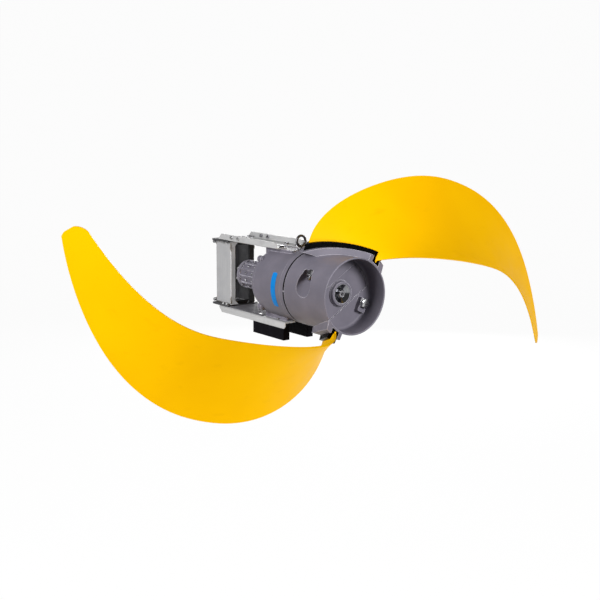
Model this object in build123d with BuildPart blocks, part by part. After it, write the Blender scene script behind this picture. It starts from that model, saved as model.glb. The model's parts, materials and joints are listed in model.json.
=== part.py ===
from build123d import *
import os
from math import acos, cos, pi, radians, sin, tan

os.makedirs("parts", exist_ok=True)

# A slow-running submersible mixer with two swept blades, which hangs on a square guide bar.
# The origin lies on the guide bar's centre line, at the height of the propeller's axis.
# The propeller faces -Y, +Z is up, and the drive lies between the propeller and the bar.
# A depth is measured backwards, towards +Y, from the front rim of the hub.

# Driving sizes of the propeller
hub_radius = 158.0
rim_wall = 7.0
rim_rounding = 3.0
cup_depth = 100.0
floor_thickness = 26.0
hub_boss_length = 24.0
floor_band_half_width = 60.0
floor_rounding = 12.0
floor_band_step = 5.0
floor_band_angle = 32.0
land_rise = 27.0
boot_rise = 48.0
boot_wall = 13.0
boot_end = 9.0
land_wall = 16.0
land_shoulder = 30.0
land_root_drop = 45.0
slot_floor_rise = 2.0
tang_clearance = 0.4
blade_count = 2
blade_root_thickness = 28.0
blade_tip_thickness = 9.0
blade_root_edge = 10.0
blade_tip_edge = 4.0
blade_camber = 0.045
tip_share = 0.965
tip_margin = 1.0
tang_length = 7.0

# Edges of the blade as radius, angle from +X and depth behind the hub's rim
blade_leading = (
    (204, 105, 240),
    (300, 89.5, 222),
    (400, 73.5, 181),
    (610, 49, 116),
    (810, 30.5, 97),
    (990, 14, 91),
    (1155, -4, 90),
    (1255, -14.9, 82),
)
blade_trailing = (
    (173, 52, -1),
    (262, 35.5, -93),
    (370, 22.5, -124),
    (605, 9, -107),
    (805, 2, -70),
    (980, -6, -27),
    (1140, -14, 19),
    (1212, -17.4, 38),
)
blade_stations = (0, 0.05, 0.11, 0.19, 0.29, 0.4, 0.52, 0.64, 0.75, 0.85, 0.93, 0.98, 1)

# Driving sizes of the hub's fasteners
recess_wall = 53.0
pocket_angle = 135.0
pocket_depth = 146.0
pocket_half_width = 45.0
pocket_half_height = 28.0
pocket_wall = 7.0
pocket_seat = 14.0
clamp_bolt_depth = 134.0
clamp_bolt_size = 36.0
clamp_bolt_head = 15.0
clamp_bolt_radius = 10.0
clamp_bolt_length = 34.0
cup_boss_angle = 156.0
cup_boss_inset = 33.0
cup_boss_width = 44.0
cup_boss_length = 64.0
cup_boss_rounding = 6.0
cup_boss_height = 24.0
cup_boss_taper = 8.0
cup_bolt_length = 30.0
dish_radius = 40.0
dish_depth = 16.0
dish_wall = 5.0
dish_rim = 2.0
dish_floor_step = 1.0
hub_boss_wall = 9.0
boss_slope = 5.0
rear_boss_slope = 8.0
screw_radius = 10.0
screw_head_radius = 15.0
screw_head_height = 14.0
screw_length = 42.0
socket_size = 14.0
socket_depth = 8.0

# Driving sizes of the output shaft and its bearings
shaft_nose_radius = 35.0
shaft_seat_radius = 40.0
key_width = 18.0
key_height = 11.0
key_length = 36.0
key_inset = 7.0
main_bearing_outer = 62.5
main_bearing_width = 22.0
main_bearing_ring = 8.0
main_bearing_gap = 4.0
main_roller_count = 14
seal_ring_radius = 54.0
seal_ring_width = 9.0
seal_seat_width = 8.0
seal_face_gap = 0.1
running_clearance = 0.05
running_fit = 0.5
pilot_radius = 8.0
pilot_length = 6.0
roller_clearance = 0.03
roller_inset = 2.0
ring_chamfer = 0.8

# Driving sizes of the two-stage planetary gear
gear_module = 3.5
sun_teeth = 12
planet_teeth = 18
ring_teeth = 48
pressure_angle = 20.0
gear_addendum = 0.8
gear_dedendum = 1.1
gear_backlash = 0.3
planet_count = 3
first_planet_angle = 90.0
output_gear_width = 24.0
input_gear_width = 19.0
output_carrier_width = 12.0
input_carrier_width = 8.0
output_pin_radius = 9.0
input_pin_radius = 8.0
pin_clearance = 0.05
gear_side_gap = 1.5
carrier_rim = 9.0
ring_wall = 5.0

# Driving sizes of the gear housing and the motor
recess_clearance = 4.0
hub_gap = 8.0
flange_room = 10.9
flange_width = 27.0
housing_radius = 153.0
flange_step = 4.0
housing_taper = 4.0
rear_step_drop = 11.0
housing_wall = 4.0
rear_step = 32.0
housing_front_wall = 23.0
housing_rear_wall = 12.0
housing_rounding = 12.0
gear_flange_drop = 2.0
gear_flange_width = 10.0
gear_flange_screws = 8
gear_screw_inset = 15.0
gear_screw_radius = 4.0
gear_screw_head = 6.0
gear_screw_length = 14.0
flange_slope = 6.0
pad_corner = 8.0
top_seat_drop = 1.0
bottom_seat_gap = 1.0
pad_depth = 40.0
stator_bore = 80.3
stator_length = 120.0
air_gap = 0.8
winding_inner = 90.0
winding_drop = 8.0
winding_length = 18.0
winding_gap = 2.0
winding_room = 26.0
rotor_shaft_radius = 25.0
rotor_journal_radius = 15.0
rotor_bearing_outer = 31.0
rotor_bearing_width = 16.0
rotor_bearing_ring = 5.0
shield_width = 18.0
seal_lip_width = 4.0

# Driving sizes of the rear cover
cover_length = 222.0
cover_radius = 60.0
cover_flange_radius = 65.0
cover_flange_width = 12.0
cover_foot_radius = 85.0
cover_foot_width = 14.0
cover_wall = 8.0
cover_rib_count = 12
cover_rib_width = 7.0
cover_rib_height = 5.0
cover_screw_count = 8
cover_screw_size = 13.0
cover_screw_head = 7.0
cover_screw_radius = 4.0
gland_radius = 17.0
gland_bore = 9.0
gland_length = 34.0
gland_angle = -15.0
gland_inset = 118.0
gland_thread = 12.0
gland_sink = 10.0

# Driving sizes of the guide claw
guide_bar = 100.0
guide_clearance = 1.6
liner_thickness = 5.0
claw_plate = 6.0
claw_flange = 24.0
claw_gap = 48.4
end_plate = 8.0
end_clearance = 3.0
end_plate_reach = 85.0
end_plate_rounding = 6.0
liner_inset = 6.0
gusset_size = 39.0
gusset_plate = 5.0
cross_rod_radius = 8.0
cross_rod_overhang = 8.0

# Driving sizes of the bars, pads and feet
bar_plate = 5.0
bar_flange = 55.0
top_leg = 28.0
bottom_leg = 29.0
top_bar_overlap = 114.0
bottom_bar_overlap = 179.0
bar_past = 3.0
bar_rear_chamfer = 22.0
bar_front_chamfer = 10.0
bend_radius = 7.0
pad_half_width = 60.0
top_pad_length = 192.0
bottom_pad_length = 158.0
frame_bolt_radius = 6.0
frame_bolt_hole = 6.5
pad_bolt_reach = 43.0
pad_bolt_inset = 17.0
claw_bolt_reach = 71.3
claw_bolt_inset = 20.6
claw_bolt_pitch = 30.0
claw_bolt_radius = 4.0
claw_bolt_hole = 4.5
claw_bolt_size = 13.0
claw_bolt_head = 5.5
frame_bolt_size = 19.0
frame_bolt_head = 8.0
frame_bolt_grip = 18.0
foot_width = 33.5
foot_height = 77.0
foot_lead = 16.0
foot_length = 231.0
foot_rounding = 4.0
foot_screw_radius = 4.0
foot_screw_reach = 66.0
foot_screw_front_inset = 60.0
foot_screw_rear_inset = 40.0
foot_screw_head = 5.0
foot_screw_length = 30.0
foot_pocket_gap = 2.0
eye_ring_radius = 22.0
eye_wire_radius = 5.5
eye_shank_radius = 7.0
eye_collar_radius = 14.0
eye_collar_height = 6.0
eye_angle = -10.0
eye_neck = 4.0
label_inset = 78.0
label_width = 40.0
label_thickness = 1.0
label_start = 154.0
label_end = 211.0
plug_angles = (28.0, -62.0)
plug_radius = 11.0
plug_height = 4.0
plug_sink = 8.0
plug_socket = 10.0

# Radii that follow from the hub's and the housing's
cup_radius = hub_radius - rim_wall
cup_boss_pitch = cup_radius - cup_boss_inset
recess_radius = hub_radius - recess_wall
slot_floor = hub_radius + slot_floor_rise
land_radius = hub_radius + land_rise
boot_radius = hub_radius + boot_rise
flange_radius = housing_radius + flange_step
housing_rear_radius = housing_radius - housing_taper
rear_step_radius = housing_rear_radius - rear_step_drop
stator_radius = rear_step_radius - housing_wall
winding_outer = stator_radius - winding_drop
gear_flange_radius = stator_radius - gear_flange_drop
gear_screw_pitch = gear_flange_radius - gear_screw_inset

# Depths along the drive, each from the one before it
floor_rear = cup_depth + floor_thickness
hub_boss_rear = floor_rear + hub_boss_length
gear_housing_radius = recess_radius - recess_clearance
gear_housing_front = hub_boss_rear + recess_clearance
dish_front = cup_depth - dish_depth
shaft_front = cup_depth + recess_clearance
seal_rotor_front = hub_boss_rear
seal_rotor_rear = seal_rotor_front + seal_ring_width
seal_seat_front = seal_rotor_rear + seal_face_gap
seal_seat_rear = seal_seat_front + seal_seat_width
first_bearing = seal_seat_rear + 2.0
bearing_depths = (first_bearing, first_bearing + main_bearing_width + main_bearing_gap)
bearing_seat_rear = bearing_depths[1] + main_bearing_width
output_carrier_front = bearing_seat_rear + 5.0
output_carrier_rear = output_carrier_front + output_carrier_width
output_gear_front = output_carrier_rear + gear_side_gap
output_gear_rear = output_gear_front + output_gear_width
input_carrier_front = output_gear_rear + gear_side_gap
input_carrier_rear = input_carrier_front + input_carrier_width
input_gear_front = input_carrier_rear + gear_side_gap
input_gear_rear = input_gear_front + input_gear_width
ring_front = output_gear_front - gear_side_gap
ring_rear = input_gear_rear + gear_side_gap
gear_flange_front = ring_rear + flange_room
housing_front = gear_flange_front - housing_front_wall
hub_length = housing_front - hub_gap
gear_flange_rear = gear_flange_front + gear_flange_width
shield_front = gear_flange_rear
shield_rear = shield_front + shield_width
stator_front = shield_rear + winding_length + winding_gap
stator_rear = stator_front + stator_length
rotor_rear_bearing = stator_rear + winding_length + winding_room
housing_rear = rotor_rear_bearing + rotor_bearing_width + housing_rear_wall
rotor_front_bearing = shield_front + seal_lip_width / 2

# Seats of the frame above and below the housing
top_seat = housing_radius - top_seat_drop
bottom_seat = -housing_radius - bottom_seat_gap
claw_top = top_seat - end_plate
claw_bottom = bottom_seat + end_plate

# Depths of the frame's pieces, from the housing's rear and from the guide bar's centre line
claw_half = guide_bar / 2 + guide_clearance + liner_thickness + claw_plate
hub_reach = housing_rear + cover_length + claw_gap + claw_half
top_pad_front = housing_rear - top_pad_length
bottom_pad_front = housing_rear - bottom_pad_length
top_bar_front = housing_rear - top_bar_overlap
bottom_bar_front = housing_rear - bottom_bar_overlap
bar_rear = hub_reach + bar_past
foot_front = bottom_bar_front + foot_lead
foot_rear = foot_front + foot_length
eye_depth = top_pad_front + eye_collar_radius
label_depth = housing_front + label_inset
gland_depth = housing_rear + gland_inset


def at_depth(depth):
    """Y coordinate of a depth behind the hub's front rim."""
    return depth - hub_reach


def cross_plane(depth):
    """Plane across the axis at a depth, with its normal towards the front."""
    return Plane(origin=(0, at_depth(depth), 0), x_dir=(1, 0, 0), z_dir=(0, -1, 0))


def half_section(points):
    """Face of (radius, depth) points beside the axis, to be turned about it."""
    with BuildSketch(Plane.XY) as section:
        with BuildLine():
            Polyline(*[(radius, at_depth(depth)) for radius, depth in points], close=True)
        make_face()
    return section.sketch


def ring_section(inner, outer, front, rear):
    """Rectangular half section of a ring between two radii and two depths."""
    return half_section([(inner, front), (outer, front), (outer, rear), (inner, rear)])


def around(radius, angle, depth):
    """Point at a radius and an angle from +X about the axis, at a depth."""
    return Vector(radius * cos(radians(angle)), at_depth(depth), radius * sin(radians(angle)))


def half_turn(part):
    """Copy of a part turned by half a turn about the propeller's axis."""
    return Rot(0, 180, 0) * part


def save(builder, label):
    """Labels a finished piece and writes it."""
    builder.part.label = label
    export_step(builder.part, f"parts/{label}.step")


# Blade: cambered sections between its leading and trailing edges, on planes across the span
with BuildLine() as leading_edge:
    Spline(*[around(*point) for point in blade_leading])
with BuildLine() as trailing_edge:
    Spline(*[around(*point) for point in blade_trailing])


def blade_middle(share):
    """Middle of the chord at a share of the way from root to tip."""
    return (leading_edge.line @ share + trailing_edge.line @ share) / 2


def blade_section(share, side=0.0, end=0.0, slip=0.0, shoulder=0.0):
    """Blade section at a share of the span, grown at its sides and ends, moved out by slip.

    The shoulder widens the rear of its back side.
    """
    chord = leading_edge.line @ share - trailing_edge.line @ share
    step = 0.01
    span = blade_middle(min(1, share + step)) - blade_middle(max(0, share - step))
    along = chord.normalized()
    normal = (span - along * span.dot(along)).normalized()
    half = chord.length / 2 + end
    thick = blade_root_thickness + (blade_tip_thickness - blade_root_thickness) * share**0.6
    rise = blade_camber * chord.length
    half_edge = (blade_root_edge + (blade_tip_edge - blade_root_edge) * share) / 2 + side
    half_thick = thick / 2 + side
    plane = Plane(origin=blade_middle(share) + normal * slip, x_dir=along, z_dir=normal)
    with BuildSketch(plane) as section:
        with BuildLine():
            ThreePointArc((-half, half_edge), (0, half_thick - rise), (half, half_edge))
            Line((half, half_edge), (half, -half_edge - shoulder))
            ThreePointArc(
                (half, -half_edge - shoulder),
                (0, -half_thick - rise - shoulder / 2),
                (-half, -half_edge),
            )
            Line((-half, -half_edge), (-half, half_edge))
        make_face()
    return section.sketch


# The tip is rounded by an arc about a point on the blade's middle line
tip_along = leading_edge.line @ tip_share - trailing_edge.line @ tip_share
tip_radius = tip_along.length / 2 + tip_margin
tip_span = blade_middle(1) - blade_middle(tip_share)
tip_plane = Plane(origin=blade_middle(tip_share), x_dir=tip_along, z_dir=tip_along.cross(tip_span))
with BuildPart() as blade_a:
    loft([blade_section(share) for share in blade_stations])
    extrude(blade_section(0), amount=-tang_length)
    with BuildSketch(tip_plane):
        with Locations((0, 2 * tip_radius)):
            Rectangle(4 * tip_radius, 4 * tip_radius)
        Circle(tip_radius, mode=Mode.SUBTRACT)
    extrude(amount=tip_radius, both=True, mode=Mode.SUBTRACT)
    revolve(
        ring_section(1, slot_floor + tang_clearance, -2 * boot_wall, hub_length + boot_wall),
        axis=Axis.Y,
        mode=Mode.SUBTRACT,
    )
save(blade_a, "blade_a")

with BuildPart() as blade_b:
    add(half_turn(blade_a.part))
save(blade_b, "blade_b")

# Root envelopes: the boot closes round the blade's root, the land carries the boot
root_stations = (0, 0.05, 0.11)


def root_envelope(side, end, shoulder=0.0):
    """Sections of the blade's root grown on all sides, with one more below it."""
    below = [blade_section(0, side, end, -land_root_drop, shoulder)]
    return below + [blade_section(share, side, end, 0, shoulder) for share in root_stations]


with BuildPart() as slot_a:
    loft(root_envelope(boot_wall, boot_end), ruled=True)
    revolve(
        ring_section(slot_floor, boot_radius, 0, hub_length - boot_end),
        axis=Axis.Y,
        mode=Mode.INTERSECT,
    )

with BuildPart() as land_a:
    loft(root_envelope(boot_wall + land_wall, boot_end + land_wall, land_shoulder), ruled=True)
    revolve(
        ring_section(slot_floor - rim_wall, land_radius, 0, hub_length),
        axis=Axis.Y,
        mode=Mode.INTERSECT,
    )

with BuildPart() as blade_boot_a:
    add(slot_a.part)
    add(blade_a.part, mode=Mode.SUBTRACT)
save(blade_boot_a, "blade_boot_a")

with BuildPart() as blade_boot_b:
    add(half_turn(blade_boot_a.part))
save(blade_boot_b, "blade_boot_b")

# Bolt spots on the frame, as X and Y
top_bolt_spots = [
    (side * pad_bolt_reach, at_depth(depth))
    for side in (-1, 1)
    for depth in (top_bar_front + pad_bolt_inset, housing_rear - pad_bolt_inset)
]
bottom_bolt_spots = [
    (side * pad_bolt_reach, at_depth(depth))
    for side in (-1, 1)
    for depth in (bottom_pad_front + pad_bolt_inset, housing_rear - pad_bolt_inset)
]
claw_bolt_row = claw_bolt_inset - claw_half
claw_bolt_spots = [
    (side * claw_bolt_reach, y)
    for side in (-1, 1)
    for y in (claw_bolt_row, claw_bolt_row + claw_bolt_pitch)
]
foot_screw_spots = [
    (side * foot_screw_reach, at_depth(depth))
    for side in (-1, 1)
    for depth in (foot_front + foot_screw_front_inset, foot_rear - foot_screw_rear_inset)
]
foot_screw_pitch = cover_foot_radius - 10
cap_screw_pitch = cover_flange_radius - 8


def plug_seat(angle):
    """Plane of an oil plug's seat on the flange, with its normal outwards."""
    outward = Vector(cos(radians(angle)), 0, sin(radians(angle)))
    origin = outward * (flange_radius - plug_sink) + Vector(0, at_depth(housing_front + flange_width / 2), 0)
    return Plane(origin=origin, x_dir=(0, 1, 0), z_dir=outward)


gland_turn = radians(gland_angle)
gland_out = Vector(cos(gland_turn), 0, sin(gland_turn))
gland_seat = Plane(
    origin=gland_out * (cover_radius + gland_sink / 2) + Vector(0, at_depth(gland_depth), 0),
    x_dir=(0, 1, 0),
    z_dir=gland_out,
)

# The key lies half in the shaft and half in the hub
key_middle = shaft_front + key_inset + key_length / 2
key_plane = Plane(origin=(0, at_depth(key_middle), shaft_nose_radius))

# Seats of the clamp bolts: planes across the bolts, whose normals point out of the pockets
pocket_middle = recess_radius + pocket_wall + pocket_half_height
clamp_bolt_middle = pocket_middle - 3.0
pocket_seats = []
for turn in range(blade_count):
    foot = pocket_angle + 360 * turn / blade_count
    outward = Vector(cos(radians(foot)), 0, sin(radians(foot)))
    wrench = Vector(-sin(radians(foot)), 0, cos(radians(foot)))
    origin = outward * clamp_bolt_middle + wrench * pocket_seat + Vector(0, at_depth(pocket_depth), 0)
    pocket_seats.append(Plane(origin=origin, x_dir=(0, 1, 0), z_dir=wrench))

# Hub: turned drum with an open cup in front and a recess for the gear behind
boss_radius = dish_radius + hub_boss_wall
floor_front = cup_depth - floor_band_step
with BuildPart() as hub:
    revolve(
        half_section(
            [
                (shaft_nose_radius + running_clearance, shaft_front),
                (dish_radius + running_clearance, shaft_front),
                (dish_radius + running_clearance, dish_front),
                (boss_radius, dish_front),
                (boss_radius + boss_slope, floor_front),
                (cup_radius, floor_front),
                (cup_radius, 0),
                (hub_radius, 0),
                (hub_radius, hub_length),
                (recess_radius, hub_length),
                (recess_radius, floor_rear),
                (boss_radius + rear_boss_slope, floor_rear),
                (boss_radius, hub_boss_rear),
                (shaft_nose_radius + running_clearance, hub_boss_rear),
            ]
        ),
        axis=Axis.Y,
    )
    rim = hub.edges().filter_by(GeomType.CIRCLE).group_by(Axis.Y)[0]
    fillet(rim, rim_rounding)
    corner = hub.edges().filter_by(GeomType.CIRCLE).filter_by(
        lambda edge: abs(edge.radius - cup_radius) < 0.01 and edge.center().Y > at_depth(cup_depth / 2)
    )
    fillet(corner, floor_rounding)
    # Bosses on the cup's floor for the inner clamp bolts
    with BuildSketch(cross_plane(cup_depth)):
        with PolarLocations(cup_boss_pitch, blade_count, cup_boss_angle):
            with Locations((0, (cup_boss_width - cup_boss_length) / 2)):
                RectangleRounded(cup_boss_width, cup_boss_length, cup_boss_rounding)
    extrude(amount=cup_boss_height, taper=cup_boss_taper)
    # A shallow band is sunk across the floor
    with BuildSketch(cross_plane(cup_depth)):
        Circle(cup_radius - floor_rounding)
        Rectangle(
            2 * hub_radius,
            2 * floor_band_half_width,
            rotation=floor_band_angle,
            mode=Mode.INTERSECT,
        )
        Circle(boss_radius + boss_slope + 1, mode=Mode.SUBTRACT)
    extrude(amount=floor_band_step, mode=Mode.SUBTRACT)
    with BuildSketch(cross_plane(cup_depth - cup_boss_height)):
        with PolarLocations(cup_boss_pitch, blade_count, cup_boss_angle):
            Circle(clamp_bolt_radius + running_clearance)
    extrude(amount=-cup_bolt_length, mode=Mode.SUBTRACT)
    with BuildSketch(cross_plane(shaft_front + key_inset)):
        with Locations((0, shaft_nose_radius)):
            Rectangle(key_width, key_height)
    extrude(amount=-(hub_boss_rear - shaft_front - key_inset), mode=Mode.SUBTRACT)
    # Two helical lands carry the blades, whose roots go into slots
    add(land_a.part)
    add(half_turn(land_a.part))
    add(slot_a.part, mode=Mode.SUBTRACT)
    add(half_turn(slot_a.part), mode=Mode.SUBTRACT)
    # Scooped pockets of the outer clamp bolts
    for seat in pocket_seats:
        with BuildSketch(seat):
            with Locations((0, pocket_middle - clamp_bolt_middle)):
                Ellipse(pocket_half_width, pocket_half_height)
        extrude(amount=3 * pocket_half_width, mode=Mode.SUBTRACT)
        with BuildSketch(seat):
            with Locations((clamp_bolt_depth - pocket_depth, 0)):
                Circle(clamp_bolt_radius + running_clearance)
        extrude(amount=-clamp_bolt_length, mode=Mode.SUBTRACT)
save(hub, "hub")

# Fasteners of the hub
with BuildPart() as clamp_bolts:
    for seat in pocket_seats:
        with BuildSketch(seat):
            with Locations((clamp_bolt_depth - pocket_depth, 0)):
                RegularPolygon(clamp_bolt_size / 2, 6, major_radius=False)
        extrude(amount=clamp_bolt_head)
        with BuildSketch(seat):
            with Locations((clamp_bolt_depth - pocket_depth, 0)):
                Circle(clamp_bolt_radius)
        extrude(amount=-clamp_bolt_length)
save(clamp_bolts, "clamp_bolts")

with BuildPart() as cup_bolts:
    with BuildSketch(cross_plane(cup_depth - cup_boss_height)):
        with PolarLocations(cup_boss_pitch, blade_count, cup_boss_angle):
            RegularPolygon(clamp_bolt_size / 2, 6, major_radius=False)
    extrude(amount=clamp_bolt_head)
    with BuildSketch(cross_plane(cup_depth - cup_boss_height)):
        with PolarLocations(cup_boss_pitch, blade_count, cup_boss_angle):
            Circle(clamp_bolt_radius)
    extrude(amount=-cup_bolt_length)
save(cup_bolts, "cup_bolts")

with BuildPart() as retaining_dish:
    revolve(
        half_section(
            [
                (screw_radius + running_clearance, shaft_front - dish_wall),
                (screw_head_radius + dish_floor_step, shaft_front - dish_wall),
                (dish_radius - dish_rim, dish_front),
                (dish_radius, dish_front),
                (dish_radius, shaft_front),
                (screw_radius + running_clearance, shaft_front),
            ]
        ),
        axis=Axis.Y,
    )
save(retaining_dish, "retaining_dish")

screw_seat = shaft_front - dish_wall
with BuildPart() as retaining_screw:
    revolve(
        half_section(
            [
                (0, screw_seat - screw_head_height),
                (screw_head_radius, screw_seat - screw_head_height),
                (screw_head_radius, screw_seat),
                (screw_radius, screw_seat),
                (screw_radius, screw_seat + screw_length),
                (0, screw_seat + screw_length),
            ]
        ),
        axis=Axis.Y,
    )
    with BuildSketch(cross_plane(screw_seat - screw_head_height)):
        RegularPolygon(socket_size / 2, 6, major_radius=False)
    extrude(amount=-socket_depth, mode=Mode.SUBTRACT)
    head_edge = retaining_screw.edges().filter_by(GeomType.CIRCLE).group_by(Axis.Y)[0]
    chamfer(head_edge, 1.5)
save(retaining_screw, "retaining_screw")


# Gears: involute flanks drawn straight from root to tip, so that each tooth stays inside its curve
def involute(angle):
    """Involute function of a pressure angle in radians."""
    return tan(angle) - angle


def gear_outline(teeth, root, tip, first_tooth, slack, centre=(0, 0)):
    """Closed outline of straight-flanked teeth, each thinner by slack at the pitch circle."""
    pitch_radius = gear_module * teeth / 2
    base_radius = pitch_radius * cos(radians(pressure_angle))
    points = []
    for tooth in range(teeth):
        middle = radians(first_tooth + 360 * tooth / teeth)
        corners = []
        for radius in (root, tip):
            at_radius = acos(min(1, base_radius / radius))
            spread = involute(radians(pressure_angle)) - involute(at_radius)
            corners.append((radius, pi / (2 * teeth) + spread - slack / (2 * pitch_radius)))
        (root, at_root), (tip, at_tip) = corners
        for radius, offset in ((root, -at_root), (tip, -at_tip), (tip, at_tip), (root, at_root)):
            turn = middle + offset
            points.append((centre[0] + radius * cos(turn), centre[1] + radius * sin(turn)))
    return points


def outer_gear(teeth, first_tooth, centre=(0, 0)):
    """Outline of an outer gear whose first tooth stands at an angle."""
    pitch_radius = gear_module * teeth / 2
    root = pitch_radius - gear_dedendum * gear_module
    tip = pitch_radius + gear_addendum * gear_module
    return gear_outline(teeth, root, tip, first_tooth, gear_backlash, centre)


# Meshing: a sun and planets with teeth face to gap along each line of centres
carrier_pitch = gear_module * (sun_teeth + planet_teeth) / 2
ring_pitch_radius = gear_module * ring_teeth / 2
ring_root_radius = ring_pitch_radius + gear_dedendum * gear_module
ring_outer_radius = ring_root_radius + ring_wall
planet_angles = [first_planet_angle + 360 * index / planet_count for index in range(planet_count)]
carrier_radius = carrier_pitch + output_pin_radius + carrier_rim

# Output shaft, one piece with the carrier of the output planets
shaft_nose_rear = hub_boss_rear
with BuildPart() as output_shaft:
    revolve(
        half_section(
            [
                (0, shaft_front),
                (shaft_nose_radius, shaft_front),
                (shaft_nose_radius, shaft_nose_rear),
                (shaft_seat_radius, shaft_nose_rear),
                (shaft_seat_radius, output_carrier_front),
                (carrier_radius, output_carrier_front),
                (carrier_radius, output_carrier_rear),
                (0, output_carrier_rear),
            ]
        ),
        axis=Axis.Y,
    )
    with BuildSketch(cross_plane(shaft_front)):
        Circle(screw_radius)
    extrude(amount=-(screw_length - dish_wall), mode=Mode.SUBTRACT)
    with BuildSketch(cross_plane(output_carrier_rear)):
        with PolarLocations(carrier_pitch, planet_count, first_planet_angle):
            Circle(output_pin_radius)
    extrude(amount=output_carrier_width, mode=Mode.SUBTRACT)
    with BuildSketch(cross_plane(output_carrier_rear)):
        Circle(pilot_radius + running_clearance)
    extrude(amount=pilot_length + gear_side_gap, mode=Mode.SUBTRACT)
    with Locations(key_plane):
        Box(key_width, key_length, key_height, mode=Mode.SUBTRACT)
    nose_edge = output_shaft.edges().filter_by(GeomType.CIRCLE).group_by(Axis.Y)[0].sort_by(SortBy.RADIUS)[-1]
    chamfer(nose_edge, 1.5)
save(output_shaft, "output_shaft")

with BuildPart() as shaft_key:
    with Locations(key_plane):
        Box(key_width, key_length, key_height)
save(shaft_key, "shaft_key")


def turned_rings(label, rings):
    """Plain rings turned about the axis, each as inner and outer radius, front and rear depth."""
    with BuildPart() as turned:
        for ring in rings:
            revolve(ring_section(*ring), axis=Axis.Y)
        chamfer(turned.edges().filter_by(GeomType.CIRCLE), ring_chamfer)
    save(turned, label)


# Main bearings: inner rings on the shaft, outer rings with their rollers in the gear housing
roller_middle = (shaft_seat_radius + main_bearing_outer) / 2
roller_radius = (main_bearing_outer - shaft_seat_radius) / 2 - main_bearing_ring - roller_clearance
turned_rings(
    "main_bearing_inner_rings",
    [
        (shaft_seat_radius, shaft_seat_radius + main_bearing_ring, front, front + main_bearing_width)
        for front in bearing_depths
    ],
)
with BuildPart() as main_bearing_outer_rings:
    for front in bearing_depths:
        rear = front + main_bearing_width
        revolve(
            ring_section(main_bearing_outer - main_bearing_ring, main_bearing_outer, front, rear),
            axis=Axis.Y,
        )
        with BuildSketch(cross_plane(front + roller_inset)):
            with PolarLocations(roller_middle, main_roller_count):
                Circle(roller_radius)
        extrude(amount=-(main_bearing_width - 2 * roller_inset))
save(main_bearing_outer_rings, "main_bearing_outer_rings")

# Shaft seal: a ring that turns with the shaft and a seat in the gear housing
turned_rings("seal_ring", [(shaft_seat_radius, seal_ring_radius, seal_rotor_front, seal_rotor_rear)])
turned_rings("seal_seat", [(shaft_seat_radius + 1, seal_ring_radius, seal_seat_front, seal_seat_rear)])

# Gear train: ring, two suns and six planets on their pins
with BuildPart() as ring_gear:
    with BuildSketch(cross_plane(ring_front)):
        Circle(ring_outer_radius)
        with BuildLine():
            Polyline(
                *gear_outline(
                    ring_teeth,
                    ring_pitch_radius - gear_addendum * gear_module,
                    ring_root_radius,
                    180 / ring_teeth,
                    -gear_backlash,
                ),
                close=True,
            )
        make_face(mode=Mode.SUBTRACT)
    extrude(amount=-(ring_rear - ring_front))
save(ring_gear, "ring_gear")

# A planet's gap faces the sun's tooth, and the ring's tooth stands in the opposite gap
planet_phase = 180 / planet_teeth
for stage, front, width, pin_radius in (
    ("output", output_gear_front, output_gear_width, output_pin_radius),
    ("input", input_gear_front, input_gear_width, input_pin_radius),
):
    for index, angle in enumerate(planet_angles):
        centre = (carrier_pitch * cos(radians(angle)), carrier_pitch * sin(radians(angle)))
        with BuildPart() as planet:
            with BuildSketch(cross_plane(front)):
                with BuildLine():
                    Polyline(*outer_gear(planet_teeth, angle + planet_phase, centre), close=True)
                make_face()
                with Locations(centre):
                    Circle(pin_radius + pin_clearance, mode=Mode.SUBTRACT)
            extrude(amount=-width)
        save(planet, f"{stage}_planet_{index + 1}")

with BuildPart() as output_planet_pins:
    with BuildSketch(cross_plane(output_carrier_front)):
        with PolarLocations(carrier_pitch, planet_count, first_planet_angle):
            Circle(output_pin_radius)
    extrude(amount=-(output_gear_rear + gear_side_gap / 2 - output_carrier_front))
save(output_planet_pins, "output_planet_pins")

with BuildPart() as input_planet_pins:
    with BuildSketch(cross_plane(input_carrier_front)):
        with PolarLocations(carrier_pitch, planet_count, first_planet_angle):
            Circle(input_pin_radius)
    extrude(amount=-(input_gear_rear + gear_side_gap / 2 - input_carrier_front))
save(input_planet_pins, "input_planet_pins")

with BuildPart() as input_carrier:
    with BuildSketch(cross_plane(input_carrier_rear)):
        Circle(carrier_pitch + input_pin_radius + carrier_rim)
        with PolarLocations(carrier_pitch, planet_count, first_planet_angle):
            Circle(input_pin_radius, mode=Mode.SUBTRACT)
    extrude(amount=input_carrier_width)
    with BuildSketch(cross_plane(input_carrier_front)):
        with BuildLine():
            Polyline(*outer_gear(sun_teeth, first_planet_angle), close=True)
        make_face()
    extrude(amount=input_carrier_front - output_gear_front)
    with BuildSketch(cross_plane(output_gear_front)):
        Circle(pilot_radius)
    extrude(amount=pilot_length)
    with BuildSketch(cross_plane(input_carrier_rear)):
        Circle(pilot_radius + running_clearance)
    extrude(amount=pilot_length, mode=Mode.SUBTRACT)
save(input_carrier, "input_carrier")

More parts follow.
